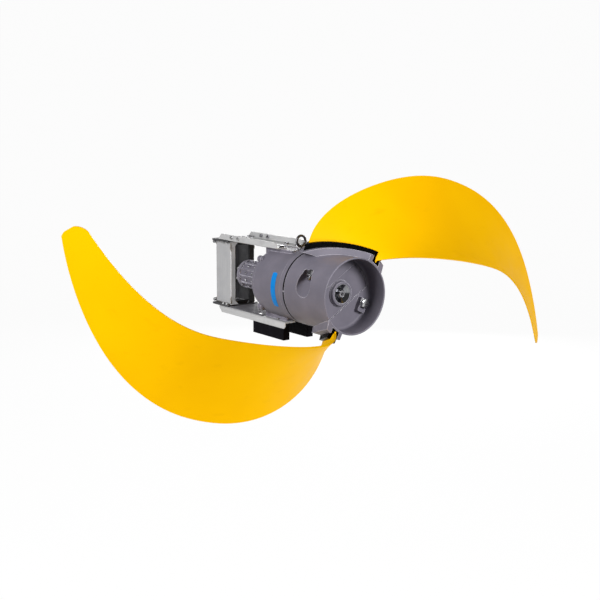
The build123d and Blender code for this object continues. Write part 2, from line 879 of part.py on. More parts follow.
# Rotor: pinion, stepped shaft and laminated core
with BuildPart() as rotor_shaft:
    with BuildSketch(cross_plane(input_gear_rear)):
        with BuildLine():
            Polyline(*outer_gear(sun_teeth, first_planet_angle), close=True)
        make_face()
    extrude(amount=input_gear_width)
    with BuildSketch(cross_plane(input_gear_front)):
        Circle(pilot_radius)
    extrude(amount=pilot_length)
    revolve(
        half_section(
            [
                (0, input_gear_rear),
                (rotor_journal_radius, input_gear_rear),
                (rotor_journal_radius, shield_rear + 1),
                (rotor_shaft_radius, shield_rear + 1),
                (rotor_shaft_radius, rotor_rear_bearing - 1),
                (rotor_journal_radius, rotor_rear_bearing - 1),
                (rotor_journal_radius, rotor_rear_bearing + rotor_bearing_width - 1),
                (0, rotor_rear_bearing + rotor_bearing_width - 1),
            ]
        ),
        axis=Axis.Y,
    )
save(rotor_shaft, "rotor_shaft")

turned_rings("rotor_core", [(rotor_shaft_radius, stator_bore - air_gap, stator_front, stator_rear)])
turned_rings("stator_core", [(stator_bore, stator_radius, stator_front, stator_rear)])
with BuildPart() as stator_windings:
    for front, rear in (
        (stator_front - winding_length, stator_front),
        (stator_rear, stator_rear + winding_length),
    ):
        revolve(ring_section(winding_inner, winding_outer, front, rear), axis=Axis.Y)
    chamfer(stator_windings.edges().filter_by(GeomType.CIRCLE), winding_length / 4)
save(stator_windings, "stator_windings")

# Rotor bearings: the inner rings turn with the rotor
rotor_rings = [(front, front + rotor_bearing_width) for front in (rotor_front_bearing, rotor_rear_bearing)]
inner_ring_radius = rotor_journal_radius + rotor_bearing_ring
turned_rings(
    "rotor_bearing_inner_rings",
    [(rotor_journal_radius, inner_ring_radius, front, rear) for front, rear in rotor_rings],
)
turned_rings(
    "rotor_bearing_outer_rings",
    [(inner_ring_radius + roller_clearance, rotor_bearing_outer, front, rear) for front, rear in rotor_rings],
)

# Gear housing: a long pot that reaches into the hub, flanged inside the motor housing
with BuildPart() as gear_housing:
    revolve(
        half_section(
            [
                (seal_ring_radius + running_fit, gear_housing_front),
                (gear_housing_radius - 4, gear_housing_front),
                (gear_housing_radius, gear_housing_front + 4),
                (gear_housing_radius, gear_flange_front),
                (gear_flange_radius, gear_flange_front),
                (gear_flange_radius, gear_flange_rear),
                (ring_outer_radius, gear_flange_rear),
                (ring_outer_radius, ring_front),
                (carrier_radius + 3, ring_front),
                (carrier_radius + 3, bearing_seat_rear),
                (main_bearing_outer, bearing_seat_rear),
                (main_bearing_outer, seal_seat_rear),
                (seal_ring_radius, seal_seat_rear),
                (seal_ring_radius, seal_seat_front),
                (seal_ring_radius + running_fit, seal_seat_front),
            ]
        ),
        axis=Axis.Y,
    )
    with BuildSketch(cross_plane(gear_flange_rear)):
        with PolarLocations(gear_screw_pitch, gear_flange_screws):
            Circle(gear_screw_radius)
    extrude(amount=gear_flange_width, mode=Mode.SUBTRACT)
save(gear_housing, "gear_housing")

with BuildPart() as gear_housing_screws:
    with BuildSketch(cross_plane(gear_flange_rear - gear_screw_head)):
        with PolarLocations(gear_screw_pitch, gear_flange_screws):
            Circle(gear_screw_radius)
    extrude(amount=gear_flange_width - gear_screw_head + gear_screw_length)
    with BuildSketch(cross_plane(gear_flange_rear - gear_screw_head)):
        with PolarLocations(gear_screw_pitch, gear_flange_screws):
            Circle(gear_screw_radius)
    extrude(amount=-gear_screw_head)
save(gear_housing_screws, "gear_housing_screws")

with BuildPart() as bearing_shield:
    revolve(
        half_section(
            [
                (rotor_journal_radius + running_fit, shield_front),
                (stator_radius, shield_front),
                (stator_radius, shield_rear),
                (rotor_bearing_outer + 12, shield_rear),
                (rotor_bearing_outer, shield_rear),
                (rotor_bearing_outer, rotor_front_bearing),
                (rotor_journal_radius + running_fit, rotor_front_bearing),
            ]
        ),
        axis=Axis.Y,
    )
save(bearing_shield, "bearing_shield")

# Motor housing: cast drum with a front flange and flat pads for the frame above and below
barrel_rear = housing_rear - rear_step
with BuildPart() as motor_housing:
    revolve(
        half_section(
            [
                (0, housing_front),
                (flange_radius, housing_front),
                (flange_radius, housing_front + flange_width),
                (housing_radius, housing_front + flange_width + flange_slope),
                (housing_rear_radius, barrel_rear - housing_rounding / 2),
                (housing_rear_radius - housing_rounding / 2, barrel_rear),
                (rear_step_radius, barrel_rear),
                (rear_step_radius, housing_rear - housing_rounding),
                (rear_step_radius - housing_rounding * 0.3, housing_rear - housing_rounding * 0.3),
                (rear_step_radius - housing_rounding, housing_rear),
                (0, housing_rear),
            ]
        ),
        axis=Axis.Y,
    )
    for seat, front in ((top_seat, top_pad_front), (bottom_seat, bottom_pad_front)):
        with BuildSketch(Plane.XY.offset(seat)):
            with Locations((0, at_depth((front + housing_rear) / 2))):
                RectangleRounded(2 * pad_half_width, housing_rear - front, pad_corner)
        extrude(amount=-seat + (pad_depth if seat > 0 else -pad_depth))
    revolve(
        half_section(
            [
                (0, housing_front),
                (gear_housing_radius, housing_front),
                (gear_housing_radius, gear_flange_front),
                (gear_flange_radius, gear_flange_front),
                (gear_flange_radius, gear_flange_rear),
                (stator_radius, gear_flange_rear),
                (stator_radius, housing_rear - housing_rear_wall),
                (rotor_bearing_outer + 15, housing_rear - housing_rear_wall),
                (rotor_bearing_outer + 11, rotor_rear_bearing),
                (rotor_bearing_outer, rotor_rear_bearing),
                (rotor_bearing_outer, housing_rear - housing_rear_wall),
                (0, housing_rear - housing_rear_wall),
            ]
        ),
        axis=Axis.Y,
        mode=Mode.SUBTRACT,
    )
    # Tapped holes of the gear housing, the frame, the eye bolt and the oil plugs
    with BuildSketch(cross_plane(gear_flange_front)):
        with PolarLocations(gear_screw_pitch, gear_flange_screws):
            Circle(gear_screw_radius)
    extrude(amount=gear_screw_length, mode=Mode.SUBTRACT)
    with BuildSketch(Plane.XY.offset(top_seat)):
        with Locations((0, at_depth(eye_depth))):
            Circle(eye_shank_radius)
        with Locations(*top_bolt_spots):
            Circle(frame_bolt_radius)
    extrude(amount=-frame_bolt_grip, mode=Mode.SUBTRACT)
    with BuildSketch(Plane.XY.offset(bottom_seat)):
        with Locations(*bottom_bolt_spots):
            Circle(frame_bolt_radius)
    extrude(amount=frame_bolt_grip, mode=Mode.SUBTRACT)
    for angle in plug_angles:
        with BuildSketch(plug_seat(angle)):
            Circle(plug_radius)
        extrude(amount=2 * plug_sink, mode=Mode.SUBTRACT)
save(motor_housing, "motor_housing")


# Blank band on the near side of the motor housing
def housing_surface(depth):
    """Radius of the motor housing's barrel, which tapers towards the rear."""
    front = housing_front + flange_width + flange_slope
    share = (depth - front) / (barrel_rear - housing_rounding / 2 - front)
    return housing_radius + (housing_rear_radius - housing_radius) * share


label_edges = (label_depth - label_width / 2, label_depth + label_width / 2)
label_turn = radians(label_end)
with BuildPart() as label_band:
    start = Plane(
        origin=(0, 0, 0),
        x_dir=(cos(label_turn), 0, sin(label_turn)),
        z_dir=(-sin(label_turn), 0, cos(label_turn)),
    )
    with BuildSketch(start):
        with BuildLine():
            Polyline(
                (housing_surface(label_edges[0]), at_depth(label_edges[0])),
                (housing_surface(label_edges[0]) + label_thickness, at_depth(label_edges[0])),
                (housing_surface(label_edges[1]) + label_thickness, at_depth(label_edges[1])),
                (housing_surface(label_edges[1]), at_depth(label_edges[1])),
                close=True,
            )
        make_face()
    revolve(axis=Axis.Y, revolution_arc=label_end - label_start)
save(label_band, "label_band")

# Oil plugs in the housing's flange
with BuildPart() as oil_plugs:
    for angle in plug_angles:
        with BuildSketch(plug_seat(angle)):
            Circle(plug_radius)
        extrude(amount=plug_height + plug_sink)
        with BuildSketch(plug_seat(angle).offset(plug_sink + plug_height)):
            RegularPolygon(plug_socket / 2, 6, major_radius=False)
        extrude(amount=-plug_height, mode=Mode.SUBTRACT)
save(oil_plugs, "oil_plugs")

# Rear cover: ribbed barrel between two flanges, closed by a cap
cap_front = housing_rear + cover_length - cover_flange_width
with BuildPart() as rear_cover:
    revolve(
        half_section(
            [
                (cover_radius - cover_wall, housing_rear),
                (cover_foot_radius, housing_rear),
                (cover_foot_radius, housing_rear + cover_foot_width),
                (cover_radius + cover_rib_height + 1, housing_rear + cover_foot_width),
                (cover_radius, housing_rear + cover_foot_width + 10),
                (cover_radius, cap_front - cover_flange_width),
                (cover_flange_radius, cap_front - cover_flange_width),
                (cover_flange_radius, cap_front),
                (cover_radius - cover_wall, cap_front),
            ]
        ),
        axis=Axis.Y,
    )
    with BuildSketch(cross_plane(housing_rear + cover_foot_width)):
        with PolarLocations(cover_radius, cover_rib_count):
            Rectangle(2 * cover_rib_height, cover_rib_width)
        Circle(cover_radius - cover_wall / 2, mode=Mode.SUBTRACT)
    extrude(amount=-(cap_front - cover_flange_width - housing_rear - cover_foot_width))
    with BuildSketch(gland_seat):
        Circle(gland_radius + 3)
    extrude(amount=-gland_sink)
    with BuildSketch(gland_seat):
        Circle(gland_thread)
    extrude(amount=-gland_sink - cover_wall, mode=Mode.SUBTRACT)
    for front, pitch in (
        (housing_rear + cover_foot_width, foot_screw_pitch),
        (cap_front, cap_screw_pitch),
    ):
        with BuildSketch(cross_plane(front)):
            with PolarLocations(pitch, cover_screw_count, 180 / cover_rib_count):
                Circle(cover_screw_radius)
        extrude(amount=cover_foot_width, mode=Mode.SUBTRACT)
save(rear_cover, "rear_cover")

with BuildPart() as rear_cap:
    revolve(
        half_section(
            [
                (0, cap_front),
                (cover_flange_radius, cap_front),
                (cover_flange_radius, cap_front + cover_flange_width - 3),
                (cover_flange_radius - 3, cap_front + cover_flange_width),
                (0, cap_front + cover_flange_width),
            ]
        ),
        axis=Axis.Y,
    )
    with BuildSketch(cross_plane(cap_front + cover_flange_width)):
        with PolarLocations(cap_screw_pitch, cover_screw_count, 180 / cover_rib_count):
            Circle(cover_screw_radius)
    extrude(amount=cover_flange_width, mode=Mode.SUBTRACT)
save(rear_cap, "rear_cap")

with BuildPart() as cover_screws:
    for seat, pitch, length in (
        (housing_rear + cover_foot_width, foot_screw_pitch, cover_foot_width),
        (cap_front + cover_flange_width, cap_screw_pitch, 2 * cover_flange_width),
    ):
        with BuildSketch(cross_plane(seat)):
            with PolarLocations(pitch, cover_screw_count, 180 / cover_rib_count):
                RegularPolygon(cover_screw_size / 2, 6, major_radius=False)
        extrude(amount=-cover_screw_head)
        with BuildSketch(cross_plane(seat)):
            with PolarLocations(pitch, cover_screw_count, 180 / cover_rib_count):
                Circle(cover_screw_radius)
        extrude(amount=length)
save(cover_screws, "cover_screws")

with BuildPart() as cable_gland:
    with BuildSketch(gland_seat):
        RegularPolygon(gland_radius, 6, major_radius=False)
    extrude(amount=gland_length * 0.35)
    with BuildSketch(gland_seat):
        Circle(gland_thread)
    extrude(amount=-gland_sink)
    with BuildSketch(gland_seat):
        Circle(gland_radius * 0.86)
    extrude(amount=gland_length, taper=4)
    with BuildSketch(gland_seat.offset(gland_length)):
        Circle(gland_bore)
    extrude(amount=-gland_length * 0.6, mode=Mode.SUBTRACT)
save(cable_gland, "cable_gland")

# Guide claw: two channels face to face round the guide bar, with liners, end plates and gussets
liner_half = claw_half - claw_plate
for name, side in (("left", -1), ("right", 1)):
    with BuildPart() as claw_channel:
        with BuildSketch(Plane.XY.offset(claw_bottom)):
            with Locations((side * (claw_half - claw_flange / 2), 0)):
                Rectangle(claw_flange, 2 * claw_half)
            with Locations((side * (liner_half - claw_flange), 0)):
                Rectangle(2 * claw_flange, 2 * liner_half, mode=Mode.SUBTRACT)
        extrude(amount=claw_top - claw_bottom)
        bends = claw_channel.edges().filter_by(Axis.Z).filter_by(
            lambda edge: abs(abs(edge.center().X) - claw_half) < 0.01
        )
        fillet(bends, claw_plate)
    save(claw_channel, f"claw_channel_{name}")
    with BuildPart() as guide_liner:
        with BuildSketch(Plane.XY.offset(claw_bottom + liner_inset)):
            with Locations((side * (liner_half - (claw_flange - claw_plate) / 2), 0)):
                Rectangle(claw_flange - claw_plate, 2 * liner_half)
            with Locations((side * (liner_half - liner_thickness - claw_flange), 0)):
                Rectangle(2 * claw_flange, 2 * (liner_half - liner_thickness), mode=Mode.SUBTRACT)
        extrude(amount=claw_top - claw_bottom - 2 * liner_inset)
    save(guide_liner, f"guide_liner_{name}")

bar_outer = end_plate_reach
bar_inner = bar_outer - bar_flange
for name, low in (("top", claw_top), ("bottom", bottom_seat)):
    with BuildPart() as claw_end_plate:
        with BuildSketch(Plane.XY.offset(low)):
            with Locations((0, -gusset_plate / 2)):
                RectangleRounded(2 * end_plate_reach, 2 * claw_half + gusset_plate, end_plate_rounding)
            Rectangle(guide_bar + 2 * end_clearance, guide_bar + 2 * end_clearance, mode=Mode.SUBTRACT)
            with Locations(*claw_bolt_spots):
                Circle(claw_bolt_hole, mode=Mode.SUBTRACT)
        extrude(amount=end_plate)
    save(claw_end_plate, f"claw_end_plate_{name}")

with BuildPart() as claw_gussets:
    with BuildSketch(Plane(origin=(0, -claw_half, 0), x_dir=(1, 0, 0), z_dir=(0, -1, 0))):
        for side in (-1, 1):
            for corner, down in ((claw_top, -1), (claw_bottom, 1)):
                with BuildLine():
                    Polyline(
                        (side * claw_half, corner),
                        (side * (claw_half - gusset_size), corner),
                        (side * claw_half, corner + down * gusset_size),
                        close=True,
                    )
                make_face()
    extrude(amount=gusset_plate)
save(claw_gussets, "claw_gussets")

with BuildPart() as cross_rods:
    rod_half = claw_half + cross_rod_overhang
    rod_inset = cross_rod_radius + 0.5
    with BuildSketch(Plane.YZ.offset(-rod_half)):
        with Locations(
            (claw_half + cross_rod_radius, claw_top - rod_inset),
            (claw_half + cross_rod_radius, claw_bottom + rod_inset),
        ):
            Circle(cross_rod_radius)
    extrude(amount=2 * rod_half)
    chamfer(cross_rods.edges().filter_by(GeomType.CIRCLE), 1.5)
save(cross_rods, "cross_rods")

# Frame bars: folded angles that tie the claw to the pads of the motor housing
for name, seat, up, leg, front, spots in (
    ("top", top_seat, 1, top_leg, top_bar_front, top_bolt_spots),
    ("bottom", bottom_seat, -1, bottom_leg, bottom_bar_front, bottom_bolt_spots),
):
    for side_name, side in (("left", -1), ("right", 1)):
        with BuildPart() as bar:
            with BuildSketch(cross_plane(front)) as angle_section:
                with BuildLine():
                    Polyline(
                        (side * bar_inner, seat),
                        (side * bar_outer, seat),
                        (side * bar_outer, seat + up * leg),
                        (side * (bar_outer - bar_plate), seat + up * leg),
                        (side * (bar_outer - bar_plate), seat + up * bar_plate),
                        (side * bar_inner, seat + up * bar_plate),
                        close=True,
                    )
                make_face()
                bend = angle_section.vertices().sort_by_distance((side * bar_outer, seat, 0))[0]
                fillet(bend, bend_radius)
            extrude(amount=-(bar_rear - front))
            # The free corners of the leg are cut off at both ends
            with BuildSketch(Plane.YZ):
                for end, cut in ((bar_rear, bar_rear_chamfer), (front, -bar_front_chamfer)):
                    with BuildLine():
                        Polyline(
                            (at_depth(end), seat + up * leg),
                            (at_depth(end - cut), seat + up * leg),
                            (at_depth(end), seat + up * (leg - abs(cut))),
                            close=True,
                        )
                    make_face()
            extrude(amount=2 * bar_outer, both=True, mode=Mode.SUBTRACT)
            with BuildSketch(Plane.XY.offset(seat)):
                with Locations(*spots):
                    Circle(frame_bolt_hole)
                with Locations(*claw_bolt_spots):
                    Circle(claw_bolt_hole)
                if up < 0:
                    with Locations(*foot_screw_spots):
                        Circle(foot_screw_radius)
                # Way of the guide bar through the flanges
                Rectangle(guide_bar + 2 * end_clearance, guide_bar + 2 * end_clearance)
            extrude(amount=up * bar_plate, mode=Mode.SUBTRACT)
        save(bar, f"{name}_bar_{side_name}")


# Fasteners of the frame
def hexagon_bolts(label, seats, size, head, shank, grip):
    """Group of hexagon bolts, each seat a plane under the heads with its spots."""
    with BuildPart() as bolts:
        for plane, spots in seats:
            with BuildSketch(plane):
                with Locations(*spots):
                    RegularPolygon(size / 2, 6, major_radius=False)
            extrude(amount=head)
            with BuildSketch(plane):
                with Locations(*spots):
                    Circle(shank)
            extrude(amount=-grip)
    save(bolts, label)


below = Plane(origin=(0, 0, bottom_seat - bar_plate), x_dir=(1, 0, 0), z_dir=(0, 0, -1))
above = Plane.XY.offset(top_seat + bar_plate)
flipped = [(x, -y) for x, y in bottom_bolt_spots]
claw_flipped = [(x, -y) for x, y in claw_bolt_spots]
hexagon_bolts(
    "pad_bolts",
    [(above, top_bolt_spots), (below, flipped)],
    frame_bolt_size,
    frame_bolt_head,
    frame_bolt_radius,
    frame_bolt_grip,
)
hexagon_bolts(
    "claw_bolts",
    [(above, claw_bolt_spots), (below, claw_flipped)],
    claw_bolt_size,
    claw_bolt_head,
    claw_bolt_radius,
    bar_plate + end_plate + claw_bolt_head,
)
with BuildPart() as claw_nuts:
    for low in (claw_top - claw_bolt_head, claw_bottom):
        with BuildSketch(Plane.XY.offset(low)):
            with Locations(*claw_bolt_spots):
                RegularPolygon(claw_bolt_size / 2, 6, major_radius=False)
                Circle(claw_bolt_radius, mode=Mode.SUBTRACT)
        extrude(amount=claw_bolt_head)
save(claw_nuts, "claw_nuts")

# Rubber feet under the bottom bars
foot_top = bottom_seat - bar_plate
foot_outer = bar_outer - bar_plate
for side_name, side in (("left", -1), ("right", 1)):
    with BuildPart() as foot:
        with BuildSketch(Plane.XY.offset(foot_top)):
            with Locations((side * (foot_outer - foot_width / 2), at_depth((foot_front + foot_rear) / 2))):
                Rectangle(foot_width, foot_rear - foot_front)
        extrude(amount=-foot_height)
        fillet(foot.edges().filter_by(Axis.Z), foot_rounding)
        with BuildSketch(Plane.XY.offset(foot_top)):
            with Locations(*[spot for spot in foot_screw_spots if spot[0] * side > 0]):
                Circle(foot_screw_radius)
        extrude(amount=-foot_screw_length, mode=Mode.SUBTRACT)
        # Pockets for the heads of the pad bolts
        with BuildSketch(Plane.XY.offset(foot_top)):
            with Locations(*[spot for spot in bottom_bolt_spots if spot[0] * side > 0]):
                Circle(frame_bolt_size / 2 / cos(pi / 6) + foot_pocket_gap)
        extrude(amount=-frame_bolt_head - foot_pocket_gap, mode=Mode.SUBTRACT)
    save(foot, f"rubber_foot_{side_name}")

with BuildPart() as foot_screws:
    with BuildSketch(Plane.XY.offset(bottom_seat)):
        with Locations(*foot_screw_spots):
            Circle(foot_screw_radius + 1.5)
    extrude(amount=foot_screw_head)
    with BuildSketch(Plane.XY.offset(bottom_seat)):
        with Locations(*foot_screw_spots):
            Circle(foot_screw_radius)
    extrude(amount=-bar_plate - foot_screw_length)
save(foot_screws, "foot_screws")

# Lifting eye on the upper pad
eye_centre = top_seat + eye_collar_height + eye_neck + eye_wire_radius + eye_ring_radius
with BuildPart() as lifting_eye:
    with BuildSketch(Plane.XY.offset(top_seat)):
        with Locations((0, at_depth(eye_depth))):
            Circle(eye_collar_radius)
    extrude(amount=eye_collar_height)
    with BuildSketch(Plane.XY.offset(top_seat + eye_collar_height)):
        with Locations((0, at_depth(eye_depth))):
            Circle(eye_shank_radius)
    extrude(amount=eye_neck + eye_wire_radius)
    with BuildSketch(Plane.XY.offset(top_seat)):
        with Locations((0, at_depth(eye_depth))):
            Circle(eye_shank_radius)
    extrude(amount=-frame_bolt_grip)
    with Locations((0, at_depth(eye_depth), eye_centre)):
        Torus(eye_ring_radius, eye_wire_radius, rotation=(90, 0, eye_angle))
save(lifting_eye, "lifting_eye")
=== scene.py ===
"""Dresses the slow-running submersible mixer: finishes, small fasteners, strips, welds and studio."""

import json
import logging
import math
from collections.abc import Sequence
from dataclasses import dataclass
from enum import Enum

import bmesh
import bpy
import numpy as np
from mathutils import Matrix, Vector

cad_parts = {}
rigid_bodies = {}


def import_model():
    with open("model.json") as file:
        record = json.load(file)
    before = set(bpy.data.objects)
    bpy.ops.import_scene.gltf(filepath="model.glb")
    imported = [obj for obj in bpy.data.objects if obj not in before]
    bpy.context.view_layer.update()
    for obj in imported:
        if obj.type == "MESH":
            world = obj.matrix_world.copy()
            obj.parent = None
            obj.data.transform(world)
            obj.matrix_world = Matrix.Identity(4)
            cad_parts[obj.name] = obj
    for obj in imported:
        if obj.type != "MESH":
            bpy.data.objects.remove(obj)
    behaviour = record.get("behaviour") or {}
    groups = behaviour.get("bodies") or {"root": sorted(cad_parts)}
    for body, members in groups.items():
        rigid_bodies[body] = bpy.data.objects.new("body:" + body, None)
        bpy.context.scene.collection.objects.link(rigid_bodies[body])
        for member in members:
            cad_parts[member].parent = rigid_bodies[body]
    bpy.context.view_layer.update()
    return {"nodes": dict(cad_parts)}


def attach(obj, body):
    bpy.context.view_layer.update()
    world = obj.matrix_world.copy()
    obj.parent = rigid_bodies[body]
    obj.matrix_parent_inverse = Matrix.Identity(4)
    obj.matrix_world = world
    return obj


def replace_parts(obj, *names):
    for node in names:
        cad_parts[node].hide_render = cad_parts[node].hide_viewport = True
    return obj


logging.basicConfig(level=logging.INFO, format="%(message)s")
LOG = logging.getLogger("mixer")
MM = 0.001
MERGE_MM = 0.01
SHARP_DEGREES = 35
BEVEL_RAYS = 6
BRUSH_STRETCH = 0.035
HUB_FRONT = -875.0
# Body of the pieces that several methods make, and a material slot that is not used
CASTING = ("drive_frame", "cast_housing")
FRAME_SCREWS = ("drive_frame", "stainless_fasteners")
HUB_SCREWS = ("propeller", "stainless_fasteners")
GUIDE = ("drive_frame", "liner_plastic")
Colour = tuple[float, float, float, float]


class Axis(Enum):
    """The object's axes, in the order of a point's coordinates."""

    X = 0
    Y = 1
    Z = 2


class Grain(Enum):
    """How the surface of a metal was worked."""

    BRUSHED = "brushed"
    TURNED = "turned"
    CAST = "cast"
    GROUND = "ground"


class Share(Enum):
    """What a lamp does with the pieces that it is given."""

    ONLY = "INCLUDE"
    NOT = "EXCLUDE"


def linear(colour: str, alpha: float = 1.0) -> Colour:
    """Turns an sRGB hex colour to linear light.

    Args:
        colour: hex text such as "#6E6B77".
        alpha: opacity.

    Returns:
        Red, green, blue and alpha for a shader's socket.
    """
    parts = [int(colour[i : i + 2], 16) / 255 for i in (1, 3, 5)]
    red, green, blue = (c / 12.92 if c <= 0.04045 else ((c + 0.055) / 1.055) ** 2.4 for c in parts)
    return red, green, blue, alpha


def add_node(
    tree: bpy.types.NodeTree, kind: str, inputs: dict | None = None, **settings: object
) -> bpy.types.Node:
    """Adds a node with its settings and links.

    Args:
        tree: the material's node tree.
        kind: the node's type name.
        inputs: socket name or number to a value, or to what is linked to it: an output, or a node for
            its first output.
        settings: attributes of the node.

    Returns:
        The new node.
    """
    node = tree.nodes.new(kind)
    for key, value in settings.items():
        setattr(node, key, value)
    for key, value in (inputs or {}).items():
        if isinstance(value, bpy.types.Node):
            value = value.outputs[0]
        if isinstance(value, bpy.types.NodeSocket):
            tree.links.new(value, node.inputs[key])
        else:
            node.inputs[key].default_value = value
    return node


def blend(
    tree: bpy.types.NodeTree,
    pattern: bpy.types.Node,
    span: tuple[float, float],
    most: float,
    first: Colour | bpy.types.NodeSocket,
    second: Colour,
) -> bpy.types.NodeSocket:
    """Colour that goes from one to another as a pattern rises.

    Args:
        tree: the material's node tree.
        pattern: node of the pattern.
        span: values of the pattern where the change begins and ends.
        most: share of the second colour at the end.
        first: colour, or output of a colour, before the change.
        second: colour after it.

    Returns:
        The colour's output.
    """
    share = add_node(tree, "ShaderNodeMapRange", {0: pattern, 1: span[0], 2: span[1], 3: 0.0, 4: most})
    return add_node(tree, "ShaderNodeMix", {0: share, 6: first, 7: second}, data_type="RGBA").outputs[2]


def noise(
    tree: bpy.types.NodeTree, size_mm: float, detail: float = 4.0, scale: Sequence[float] | None = None
) -> bpy.types.Node:
    """Noise in the object's own space, with features of a real size.

    Args:
        tree: the material's node tree.
        size_mm: size of the largest features.
        detail: octaves of finer features.
        scale: one number for each axis, smaller along an axis where the features are long.

    Returns:
        The noise's node.
    """
    place = add_node(tree, "ShaderNodeTexCoord").outputs["Object"]
    if scale:
        place = add_node(tree, "ShaderNodeMapping", {"Vector": place, "Scale": scale})
    pattern = {"Vector": place, "Scale": 1 / (size_mm * MM), "Detail": detail, "Roughness": 0.55}
    return add_node(tree, "ShaderNodeTexNoise", pattern)


def worn_edges(tree: bpy.types.NodeTree, width_mm: float, patch_mm: float) -> bpy.types.Node:
    """Mask of the edges where the coat is painted pale, for rubbed wear and as a painted highlight, broken up
    by noise so that it is uneven.

    Args:
        tree: the material's node tree.
        width_mm: how far the pale edge reaches from an edge.
        patch_mm: size of the pale patches.

    Returns:
        Node whose value goes from 0 on flat surfaces to 1 on edges that are painted pale.
    """
    true = add_node(tree, "ShaderNodeNewGeometry").outputs["Normal"]
    bent = add_node(tree, "ShaderNodeBevel", {"Radius": width_mm * MM}, samples=BEVEL_RAYS)
    normals = {0: true, 1: bent}
    same = add_node(tree, "ShaderNodeVectorMath", normals, operation="DOT_PRODUCT").outputs["Value"]
    edge = add_node(tree, "ShaderNodeMapRange", {0: same, 1: 0.99, 2: 0.9, 3: 0.0, 4: 1.0})
    spots = {0: noise(tree, patch_mm, 5.0), 1: 0.36, 2: 0.56, 3: 0.25, 4: 1.0}
    patches = add_node(tree, "ShaderNodeMapRange", spots)
    return add_node(tree, "ShaderNodeMath", {0: edge, 1: patches}, operation="MULTIPLY")


@dataclass(frozen=True)
class Finish:
    """A surface finish, built once as a material.

    Attributes:
        name: the material's name.
        colour: sRGB hex of the main colour.
        roughness: middle roughness.
    """

    name: str
    colour: str
    roughness: float

    def build(self) -> bpy.types.Material:
        """Returns the material, building its nodes the first time."""
        found = bpy.data.materials.get(self.name)
        if found:
            return found
        material = bpy.data.materials.new(self.name)
        material.use_nodes = True
        tree = material.node_tree
        tree.nodes.clear()
        shader = add_node(tree, "ShaderNodeBsdfPrincipled", self.paint(tree))
        add_node(tree, "ShaderNodeOutputMaterial", {"Surface": shader})
        material.diffuse_color = linear(self.colour)
        return material

    def paint(self, tree: bpy.types.NodeTree) -> dict:
        """Adds the pattern's nodes and returns the shader's inputs."""
        raise NotImplementedError

    def bump(
        self, tree: bpy.types.NodeTree, height: bpy.types.Node, depth_mm: float, edge_mm: float = 0.0
    ) -> bpy.types.Node:
        """Normal of a surface that is raised by a height between 0 and 1.

        Args:
            tree: the material's node tree.
            height: node of the height.
            depth_mm: height of the relief.
            edge_mm: radius that the edges are rounded by, none where it is 0.

        Returns:
            The normal's node.
        """
        relief = {"Height": height, "Distance": depth_mm * MM, "Strength": 1.0}
        if edge_mm:
            relief["Normal"] = add_node(tree, "ShaderNodeBevel", {"Radius": edge_mm * MM}, samples=BEVEL_RAYS)
        return add_node(tree, "ShaderNodeBump", relief)

    def uneven(self, tree: bpy.types.NodeTree, value: bpy.types.Node, spread: float) -> bpy.types.Node:
        """Roughness that a noise moves from its middle by up to a spread to each side."""
        spans = {0: value, 1: 0.3, 2: 0.7, 3: self.roughness - spread, 4: self.roughness + spread}
        return add_node(tree, "ShaderNodeMapRange", spans)


@dataclass(frozen=True)
class PaintedCasting(Finish):
    """Two-pack epoxy sprayed on cast iron: satin over soft rounded edges, pale along them with rubbed wear
    and painted highlights.

    Attributes:
        worn: sRGB hex of the coat at an edge, rubbed pale by handling and lightened as a painted highlight.
        shade: sRGB hex of the coat where it lies thick.
    """

    worn: str = "#DDDAE4"
    shade: str = "#6B6873"

    def paint(self, tree: bpy.types.NodeTree) -> dict:
        """Sets the coat: slow shade, edges pale with rubbed wear and painted highlights, sand waves under an
        orange peel.
        """
        slow = noise(tree, 110.0, 3.0)
        coat = blend(tree, slow, (0.35, 0.65), 1.0, linear(self.shade), linear(self.colour))
        # The pale edges are rubbed wear and also a painted highlight along every rim and step
        rubbed = {0: worn_edges(tree, 3.0, 45.0), 6: coat, 7: linear(self.worn)}
        # The peel is really about 3 mm across and is drawn at 9 mm so that it shows
        peel = noise(tree, 9.0, 3.0)
        sand = noise(tree, 45.0, 3.0)
        height = add_node(tree, "ShaderNodeMath", {0: sand, 1: 2.5, 2: peel}, operation="MULTIPLY_ADD")
        return {
            "Base Color": add_node(tree, "ShaderNodeMix", rubbed, data_type="RGBA").outputs[2],
            "Roughness": self.uneven(tree, noise(tree, 30.0, 5.0), 0.05),
            "Normal": self.bump(tree, height, 0.1, 4.0),
            "Specular IOR Level": 0.18,
        }


@dataclass(frozen=True)
class GelCoat(Finish):
    """Pigmented gel coat on a glass-fibre blade: smooth and satin, with faint waves and scuffs.

    Attributes:
        deep: sRGB hex where the coat is thick.
        scuff: sRGB hex of the faint scuffs.
    """

    deep: str = "#F9BA00"
    scuff: str = "#E9A800"

    def paint(self, tree: bpy.types.NodeTree) -> dict:
        """Sets the coat: slow warm variation, faint scuffs along the blade and a shallow wave."""
        slow = noise(tree, 320.0, 2.0)
        scuffs = noise(tree, 38.0, 8.0, scale=(0.35, 1.0, 1.0))
        coat = blend(tree, slow, (0.35, 0.65), 1.0, linear(self.deep), linear(self.colour))
        coat = blend(tree, scuffs, (0.6, 0.78), 0.35, coat, linear(self.scuff))
        return {
            "Base Color": coat,
            "Roughness": self.uneven(tree, noise(tree, 60.0, 6.0), 0.05),
            "Normal": self.bump(tree, noise(tree, 70.0, 2.0), 0.08),
            "Specular IOR Level": 0.04,
        }


